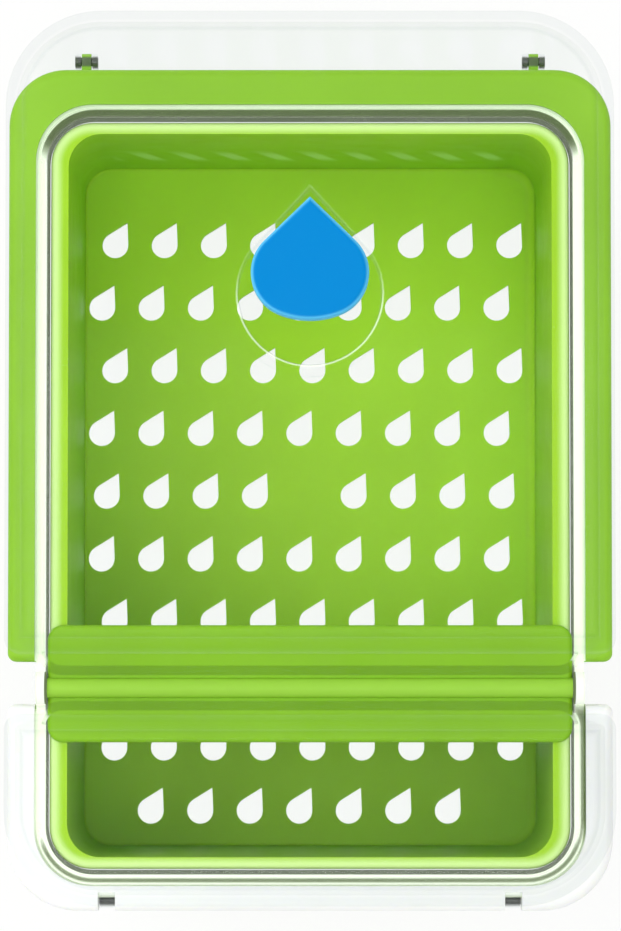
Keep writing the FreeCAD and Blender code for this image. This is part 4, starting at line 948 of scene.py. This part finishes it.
class KEEPER_OT_shells(bpy.types.Operator):
    """Make the two clear hoods and the rim's edge of painted shade, and dress the tank"""

    bl_idname = "keeper.shells"
    bl_label = "Clear shells"

    def execute(self, context):
        colours = context.scene.keeper_colours
        sizes = context.scene.keeper_sizes
        tank = clear_plastic("clear SAN, tank", colours.shell, colours.rim_glow_colour, False, colours.pin_and_shade_colour)
        dress("base_tank", tank)
        hoods = clear_plastic("clear SAN, hoods", colours.shell, colours.rim_glow_colour, True)
        rear_hood(sizes, hoods)
        front_hood(sizes, hoods)
        rim_shade_ring(shade_edge_plastic("clear SAN, rim edge", colours.rim_gap_shade))
        return {"FINISHED"}


class KEEPER_OT_basket(bpy.types.Operator):
    """Dress the basket, its drain floor and the bridge bar, and add the cove round the floor"""

    bl_idname = "keeper.basket"
    bl_label = "Basket and bar"

    def execute(self, context):
        colours = context.scene.keeper_colours
        # The basket's rim and rear wall get a painted highlight and painted glints.
        crest = (painted_basket_highlights, colours.painted_basket_highlights)
        basket = moulded_plastic(
            "green polypropylene, basket", colours.basket,
            roughness=0.5, grain_mm=0.5, subsurface=0.15, gloss=0.12, crest=crest,
        )
        dress("basket_shell", basket)
        dress("drain_floor", basket)
        # The bar's ridge gets a painted highlight.
        ridge = (ridge_highlight, colours.bar_ridge_highlight)
        bar = moulded_plastic(
            "green polypropylene, bar", colours.bar,
            roughness=0.45, grain_mm=0.5, subsurface=0.1, gloss=0.2, crest=ridge,
        )
        dress("bridge_bar", bar)
        floor_cove(context.scene.keeper_sizes, basket)
        return {"FINISHED"}


class KEEPER_OT_grips(bpy.types.Operator):
    """Dress the two rim grips"""

    bl_idname = "keeper.grips"
    bl_label = "Rim grips"

    def execute(self, context):
        colours = context.scene.keeper_colours
        # The green knuckle gets a dark band along its hinge line: painted shade where the pin runs.
        pins = (pin_and_shade_mask, colours.pin_and_shade_colour)
        green = moulded_plastic(
            "green polypropylene, grip", colours.grip,
            roughness=0.45, grain_mm=0.5, subsurface=0.05, gloss=0.2, crest=pins,
        )
        dress("rear_rim_grip", green)
        frosted = moulded_plastic(
            "frosted polypropylene, grip", colours.frosted,
            roughness=0.4, grain_mm=0.5, subsurface=0.2, tint_share=0.01,
        )
        dress("front_rim_grip", frosted)
        return {"FINISHED"}


class KEEPER_OT_hinges(bpy.types.Operator):
    """Dress the hinge pins"""

    bl_idname = "keeper.hinges"
    bl_label = "Hinge pins"

    def execute(self, context):
        colours = context.scene.keeper_colours
        finishes = {
            "rear": drawn_steel("blackened steel wire", colours.rear_steel),
            "front": drawn_steel("drawn steel wire", colours.front_steel),
        }
        for end, steel in finishes.items():
            for side in ("left", "right"):
                dress(f"{end}_hinge_pin_{side}", steel)
        return {"FINISHED"}


class KEEPER_OT_plug(bpy.types.Operator):
    """Dress the water plug and its seal"""

    bl_idname = "keeper.plug"
    bl_label = "Water plug"

    def execute(self, context):
        colours = context.scene.keeper_colours
        # The plug's base colour is its paler painted highlight; only the flat top shows its own blue.
        top = (plug_top, colours.plug)
        blue = moulded_plastic(
            "blue polypropylene, plug", colours.plug_edge_highlight,
            roughness=0.45, grain_mm=0.4, subsurface=0.1, tint_share=0.03, gloss=0.04, crest=top,
        )
        dress("water_plug", blue)
        dress("plug_seal", soft_rubber("silicone seal", colours.seal))
        return {"FINISHED"}


class KEEPER_OT_feet(bpy.types.Operator):
    """Dress the four foot pads"""

    bl_idname = "keeper.feet"
    bl_label = "Feet"

    def execute(self, context):
        rubber = soft_rubber("thermoplastic rubber feet", context.scene.keeper_colours.foot)
        for end in ("front", "rear"):
            for side in ("left", "right"):
                dress(f"foot_{end}_{side}", rubber)
        return {"FINISHED"}


def area_lamp(name, place, size, power):
    """A square soft box at a place, turned to the middle of the keeper's lower half."""
    light = bpy.data.lights.new(name, "AREA")
    light.shape = "SQUARE"
    light.size = size
    light.energy = power
    lamp = bpy.data.objects.new(name, light)
    bpy.context.scene.collection.objects.link(lamp)
    lamp.location = place
    lamp.rotation_euler = (Vector(LAMP_AIM) - Vector(place)).to_track_quat("-Z", "Y").to_euler()


def studio_camera(scene):
    """A long lens nearly straight over the keeper."""
    camera = bpy.data.objects.new("camera", bpy.data.cameras.new("camera"))
    scene.collection.objects.link(camera)
    camera.data.lens = LENS
    camera.data.sensor_width = SENSOR
    camera.data.clip_end = SIGHT
    camera.location = (CAMERA_X, CAMERA_Y, scene.keeper_sizes.camera_height)
    camera.rotation_euler = (math.radians(CAMERA_TILT), 0.0, 0.0)
    scene.camera = camera


def studio_world(scene):
    """A plain white room, which lights things a little less than it looks white."""
    world = bpy.data.worlds.new("studio")
    scene.world = world
    world.use_nodes = True
    tree = world.node_tree
    tree.nodes.clear()
    strength = add_node(
        tree, "ShaderNodeMapRange",
        inputs={"Value": seen_rays(tree), "To Min": WORLD_LIGHT, "To Max": 1.0},
    )
    sky = add_node(
        tree, "ShaderNodeBackground",
        inputs={"Color": (1, 1, 1, 1), "Strength": strength.outputs["Result"]},
    )
    add_node(tree, "ShaderNodeOutputWorld", inputs={"Surface": sky.outputs[0]})


def studio_floor(scene):
    """A square of white paper just under the feet."""
    mesh = bpy.data.meshes.new("floor")
    corners = [(SWEEP_HALF * x, SWEEP_HALF * y, 0) for x, y in ((-1, -1), (1, -1), (1, 1), (-1, 1))]
    mesh.from_pydata(corners, [], [(0, 1, 2, 3)])
    floor = bpy.data.objects.new("floor", mesh)
    scene.collection.objects.link(floor)
    floor.location.z = -SWEEP_DROP * MM
    mesh.materials.append(floor_material())


class KEEPER_OT_stage(bpy.types.Operator):
    """Set the camera, the lamps, the world and the floor"""

    bl_idname = "keeper.stage"
    bl_label = "Stage"

    def execute(self, context):
        scene = context.scene
        studio_camera(scene)
        area_lamp("key softbox", *KEY_LAMP)
        area_lamp("fill softbox", *FILL_LAMP)
        studio_world(scene)
        studio_floor(scene)
        scene.view_settings.view_transform = "Standard"
        return {"FINISHED"}


def seen_rays(tree):
    """One where a camera, glossy or transmission ray looks, and zero for light that falls on things."""
    path = add_node(tree, "ShaderNodeLightPath")
    mirror = add_node(
        tree, "ShaderNodeMath", {"operation": "MAXIMUM"},
        {0: path.outputs["Is Camera Ray"], 1: path.outputs["Is Glossy Ray"]},
    )
    every = add_node(
        tree, "ShaderNodeMath", {"operation": "MAXIMUM"},
        {0: mirror.outputs[0], 1: path.outputs["Is Transmission Ray"]},
    )
    return every.outputs[0]


def floor_material():
    """A pale sweep: near-white paper that looks white and still takes the keeper's shadow."""
    material, tree = new_material("paper sweep")
    paper = add_node(tree, "ShaderNodeBsdfDiffuse", inputs={"Color": rgba(linear("F4F4F4"))})
    glow = add_node(tree, "ShaderNodeEmission", inputs={"Color": (1, 1, 1, 1), "Strength": 1.0})
    share = add_node(
        tree, "ShaderNodeMath", {"operation": "MULTIPLY"}, {0: seen_rays(tree), 1: SWEEP_GLOW}
    )
    mixed = add_node(
        tree, "ShaderNodeMixShader",
        inputs={0: share.outputs[0], 1: paper.outputs[0], 2: glow.outputs[0]},
    )
    finish_material(tree, mixed.outputs[0])
    return material


class KEEPER_PT_panel(bpy.types.Panel):
    """Sidebar panel with the keeper's operators and settings"""

    bl_idname = "KEEPER_PT_panel"
    bl_label = "Herb Keeper"
    bl_space_type = "VIEW_3D"
    bl_region_type = "UI"
    bl_category = "Herb Keeper"

    def draw(self, context):
        layout = self.layout
        for operator in OPERATORS:
            layout.operator(operator.bl_idname)
        for group in (context.scene.keeper_colours, context.scene.keeper_sizes):
            for key in group.__annotations__:
                layout.prop(group, key)


OPERATORS = (
    KEEPER_OT_stage,
    KEEPER_OT_shells,
    KEEPER_OT_basket,
    KEEPER_OT_grips,
    KEEPER_OT_hinges,
    KEEPER_OT_plug,
    KEEPER_OT_feet,
)
CLASSES = (KeeperColours, KeeperSizes, *OPERATORS, KEEPER_PT_panel)


def register():
    for item in CLASSES:
        bpy.utils.register_class(item)
    bpy.types.Scene.keeper_colours = PointerProperty(type=KeeperColours)
    bpy.types.Scene.keeper_sizes = PointerProperty(type=KeeperSizes)


def unregister():
    del bpy.types.Scene.keeper_sizes
    del bpy.types.Scene.keeper_colours
    for item in reversed(CLASSES):
        bpy.utils.unregister_class(item)


def main():
    """Registers the classes and makes every piece."""
    register()
    for name in ("stage", "shells", "basket", "grips", "hinges", "plug", "feet"):
        getattr(bpy.ops.keeper, name)()


if __name__ == "__main__":
    main()
